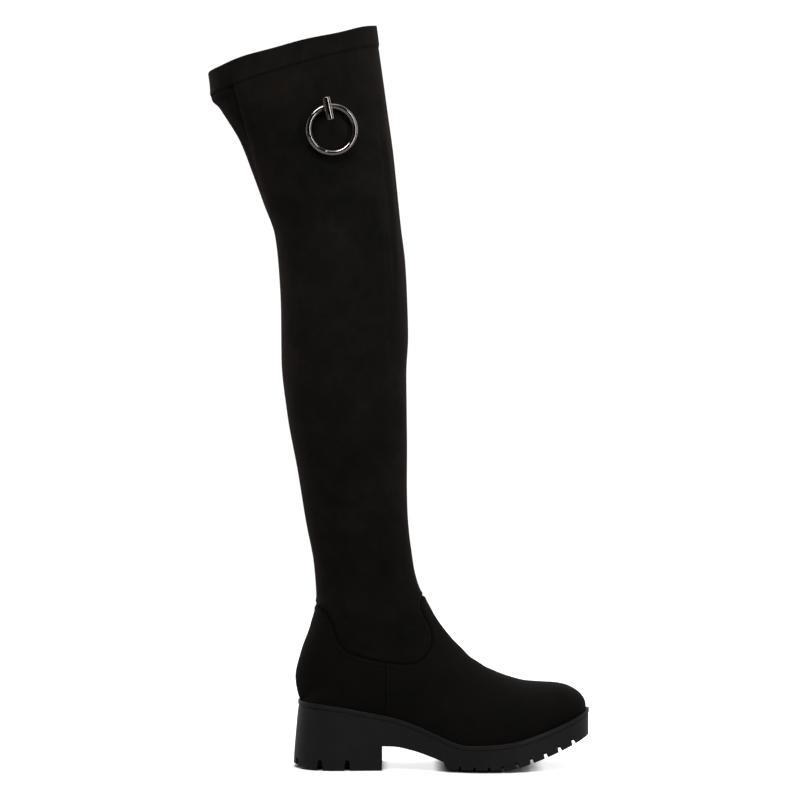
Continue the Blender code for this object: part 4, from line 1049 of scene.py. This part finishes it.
def dark_nickel():
    """Black nickel plate on a polished casting: a dark mirror with a warm cast and faint polishing marks.

    Its colour is painted darker face on than at the rims, a painted reflection that widens the dark band along the
    crest."""
    made = new_material("polished dark nickel")
    place = add(made, "ShaderNodeTexCoord", out="Object")
    haze = add(made, "ShaderNodeTexNoise", {"Vector": place, "Scale": 1 / 0.004, "Detail": 3.0})
    gloss = add(made, "ShaderNodeMapRange", {"Value": haze, "To Min": 0.02, "To Max": 0.06})
    # Painted reflection: the colour turns lighter from face on toward the rims.
    turned = add(made, "ShaderNodeMapRange", {"Value": add(made, "ShaderNodeLayerWeight", out="Facing"),
                                              "From Min": 0.08, "From Max": 0.45})
    tone = add(made, "ShaderNodeMix", {"Factor": turned, "A": hex_colour("#8f8783"), "B": hex_colour("#978e89")},
               data_type="RGBA")
    relief = add(made, "ShaderNodeBump", {"Height": haze, "Strength": 0.006, "Distance": 0.0004})
    return shaded(made, {"Base Color": tone, "Roughness": gloss, "Normal": relief, "Metallic": 1.0})


NICKEL = dark_nickel()


def bar_profile(radius, half, edge):
    """Half section of a bar with slightly domed ends and rounded edges."""
    angles = np.linspace(0, math.pi / 2, 6)
    corner = [(radius - edge + edge * math.sin(a), half - edge + edge * math.cos(a)) for a in angles]
    top = [(0.0, half + 0.00015), (0.5 * (radius - edge), half + 0.0001), *corner]
    return top + [(r, -h) for r, h in top[::-1]]


def bar_stud():
    height = GAP + RING_WIRE + GAP + BAR_DIAMETER / 2
    plate_sag = (BACK_PLATE / 2) ** 2 / COLLAR_DEPTH
    plate = -SHAFT_WALL - GAP - plate_sag - BACK_PLATE_THICKNESS / 2
    lying = stud_place(height, rise=BAR_LIFT) @ Matrix.Rotation(math.pi / 2, 4, "X")
    pieces = [
        lathe("bar_stud", bar_profile(BAR_DIAMETER / 2, BAR_LENGTH / 2, BAR_EDGE), lying, NICKEL),
        lathe("post", [(0.0, plate), (POST_DIAMETER / 2, plate), (POST_DIAMETER / 2, height), (0.0, height)],
              stud_place(0.0), NICKEL, 24),
        lathe("plate", bar_profile(BACK_PLATE / 2, BACK_PLATE_THICKNESS / 2, BACK_PLATE_THICKNESS / 3),
              stud_place(plate), NICKEL, 40),
    ]
    body = bmesh.new()
    for piece in pieces:
        body.from_mesh(piece.data)
    body.to_mesh(pieces[0].data)
    body.free()
    for piece in pieces[1:]:
        bpy.data.objects.remove(piece)
    return smooth(pieces[0], 40)


bar = bar_stud()
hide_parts("stud")
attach(bar, "boot")

# Ring
# Round wire bent to a ring, butted, soldered and plated with the bar. The butt shows as a fine nick
# at the lower back. It hangs on the post by its own weight and turns about it.
BUTT_ANGLE = math.radians(-119)
BUTT_DEPTH, BUTT_SPREAD = 0.00022, 0.00035
WIRE_SIDES = 40


def wire_ring():
    """Circle of wire: centre radius R, wire radius r less a narrow nick at the butt."""
    hang = RING_RADIUS - RING_WIRE / 2 - POST_DIAMETER / 2 - GAP
    even = np.linspace(0, 2 * math.pi, 192, endpoint=False)
    fine = BUTT_ANGLE % (2 * math.pi) + np.linspace(-0.05, 0.05, 13)
    turn = np.unique(np.concatenate([even, fine]))[:, None]
    round_wire = np.linspace(0, 2 * math.pi, WIRE_SIDES, endpoint=False)
    from_butt = RING_RADIUS * (np.mod(turn - BUTT_ANGLE + math.pi, 2 * math.pi) - math.pi)
    wire = RING_WIRE / 2 + bell(from_butt, -BUTT_DEPTH, BUTT_SPREAD)
    reach = RING_RADIUS + wire * np.cos(round_wire)
    local = np.stack([reach * np.cos(turn), reach * np.sin(turn) - hang, wire * np.sin(round_wire) + 0 * reach], -1)
    points = placed(local, stud_place(GAP + RING_WIRE / 2, RING_TILT))
    faces = loft_faces(len(turn), WIRE_SIDES, closed=True)
    return smooth(welded(mesh_piece("wire_ring", points, faces, [NICKEL]), 1e-7), 50)


hoop = wire_ring()
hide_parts("ring")
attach(hoop, "ring")

# Floor
# A white floor with a painted glow, which the camera alone sees and no lamp gives. It sends the boot
# less light than the camera sees, so that the black cloth keeps its depth over a white ground. No glow
# comes up between the lugs, a painted shade there.


def floor_with_painted_glow():
    """Floor with a painted glow to the camera alone where an ambient occlusion of 12 mm finds it open, and painted
    shade where it is shut in.
    """
    made = new_material("white floor with painted glow")
    seen = add(made, "ShaderNodeLightPath", out="Is Camera Ray")
    tone = add(made, "ShaderNodeMix", {"Factor": seen, "A": (0.4, 0.4, 0.4, 1.0), "B": (0.75, 0.75, 0.75, 1.0)},
               data_type="RGBA")
    # Painted shade: the glow fades out where the floor is shut in, as between the lugs.
    open_air = add(made, "ShaderNodeAmbientOcclusion", {"Distance": 0.012}, "AO", samples=8)
    shine = add(made, "ShaderNodeMapRange", {"Value": open_air, "From Min": 0.35, "From Max": 0.8,
                                             "To Min": 0.0, "To Max": 0.8})
    glow = add(made, "ShaderNodeMath", {0: seen, 1: shine}, operation="MULTIPLY")
    return shaded(made, {"Base Color": tone, "Emission Strength": glow, "Emission Color": (1, 1, 1, 1),
                         "Roughness": 0.9, "Specular IOR Level": 0.1})


floor = mesh_piece("floor", [(-4, -4, 0), (4, -4, 0), (4, 1.6, 0), (-4, 1.6, 0)], [(0, 1, 2, 3)], [floor_with_painted_glow()])

# Light
# A white room, a broad soft box overhead and a narrow one on the camera's right for the metal. Three
# cards that the camera doesn't see, a nearly black one in front and a dark grey one on each side, keep
# the contrast of the metal and of the sole.
room = bpy.data.worlds.new("white room")
bpy.context.scene.world = room
room.use_nodes = True
connect(room, room.node_tree.nodes["Background"], {"Color": (1, 1, 1, 1), "Strength": 1.06})


def soft_box(name, place, target, width, height, power):
    """Area light that looks from its place to its target."""
    light = bpy.data.lights.new(name, "AREA")
    light.shape, light.size, light.size_y, light.energy = "RECTANGLE", width, height, power
    made = bpy.data.objects.new(name, light)
    bpy.context.scene.collection.objects.link(made)
    made.location = place
    made.rotation_euler = (Vector(target) - Vector(place)).to_track_quat("-Z", "Y").to_euler()


soft_box("overhead box", (-0.2, -0.85, 1.5), (0.03, 0, 0.45), 0.9, 0.33, 10)
soft_box("side box", (1.15, -1.25, 0.75), (0, 0, 0.5), 0.2, 1.3, 8)


CARD_LOW, CARD_HIGH = 0.15, 3.2


def card(name, start, end, grey):
    """Upright card between two places on the floor's plan, in a matt grey, which the camera doesn't see."""
    finish = shaded(new_material(name), {"Base Color": (grey, grey, grey, 1.0), "Roughness": 1.0,
                                         "Specular IOR Level": 0.0})
    corners = [(*start, CARD_LOW), (*end, CARD_LOW), (*end, CARD_HIGH), (*start, CARD_HIGH)]
    made = mesh_piece(name, corners, [(0, 1, 2, 3)], [finish])
    made.visible_camera = False


card("front_card", (-1.3, -3.0), (1.4, -3.0), 0.02)
card("left_card", (-1.3, 0.15), (-1.3, -3.0), 0.12)
card("right_card", (1.4, -3.0), (1.4, 0.15), 0.12)

# Camera
# Level, 2.2 m off the outer side, with the long lens of the photograph's view.
FOCAL_LENGTH, FRAME_WIDTH = 2531, 790  # of the photograph, in pixels
lens = bpy.data.cameras.new("camera")
lens.sensor_width = 36.0
lens.lens = 36.0 * FOCAL_LENGTH / FRAME_WIDTH
camera = bpy.data.objects.new("camera", lens)
camera.location = (0.0504, -2.23, 0.3265)
camera.rotation_euler = (math.pi / 2, 0, 0)
bpy.context.scene.collection.objects.link(camera)
bpy.context.scene.camera = camera
bpy.context.scene.view_settings.view_transform = "Standard"
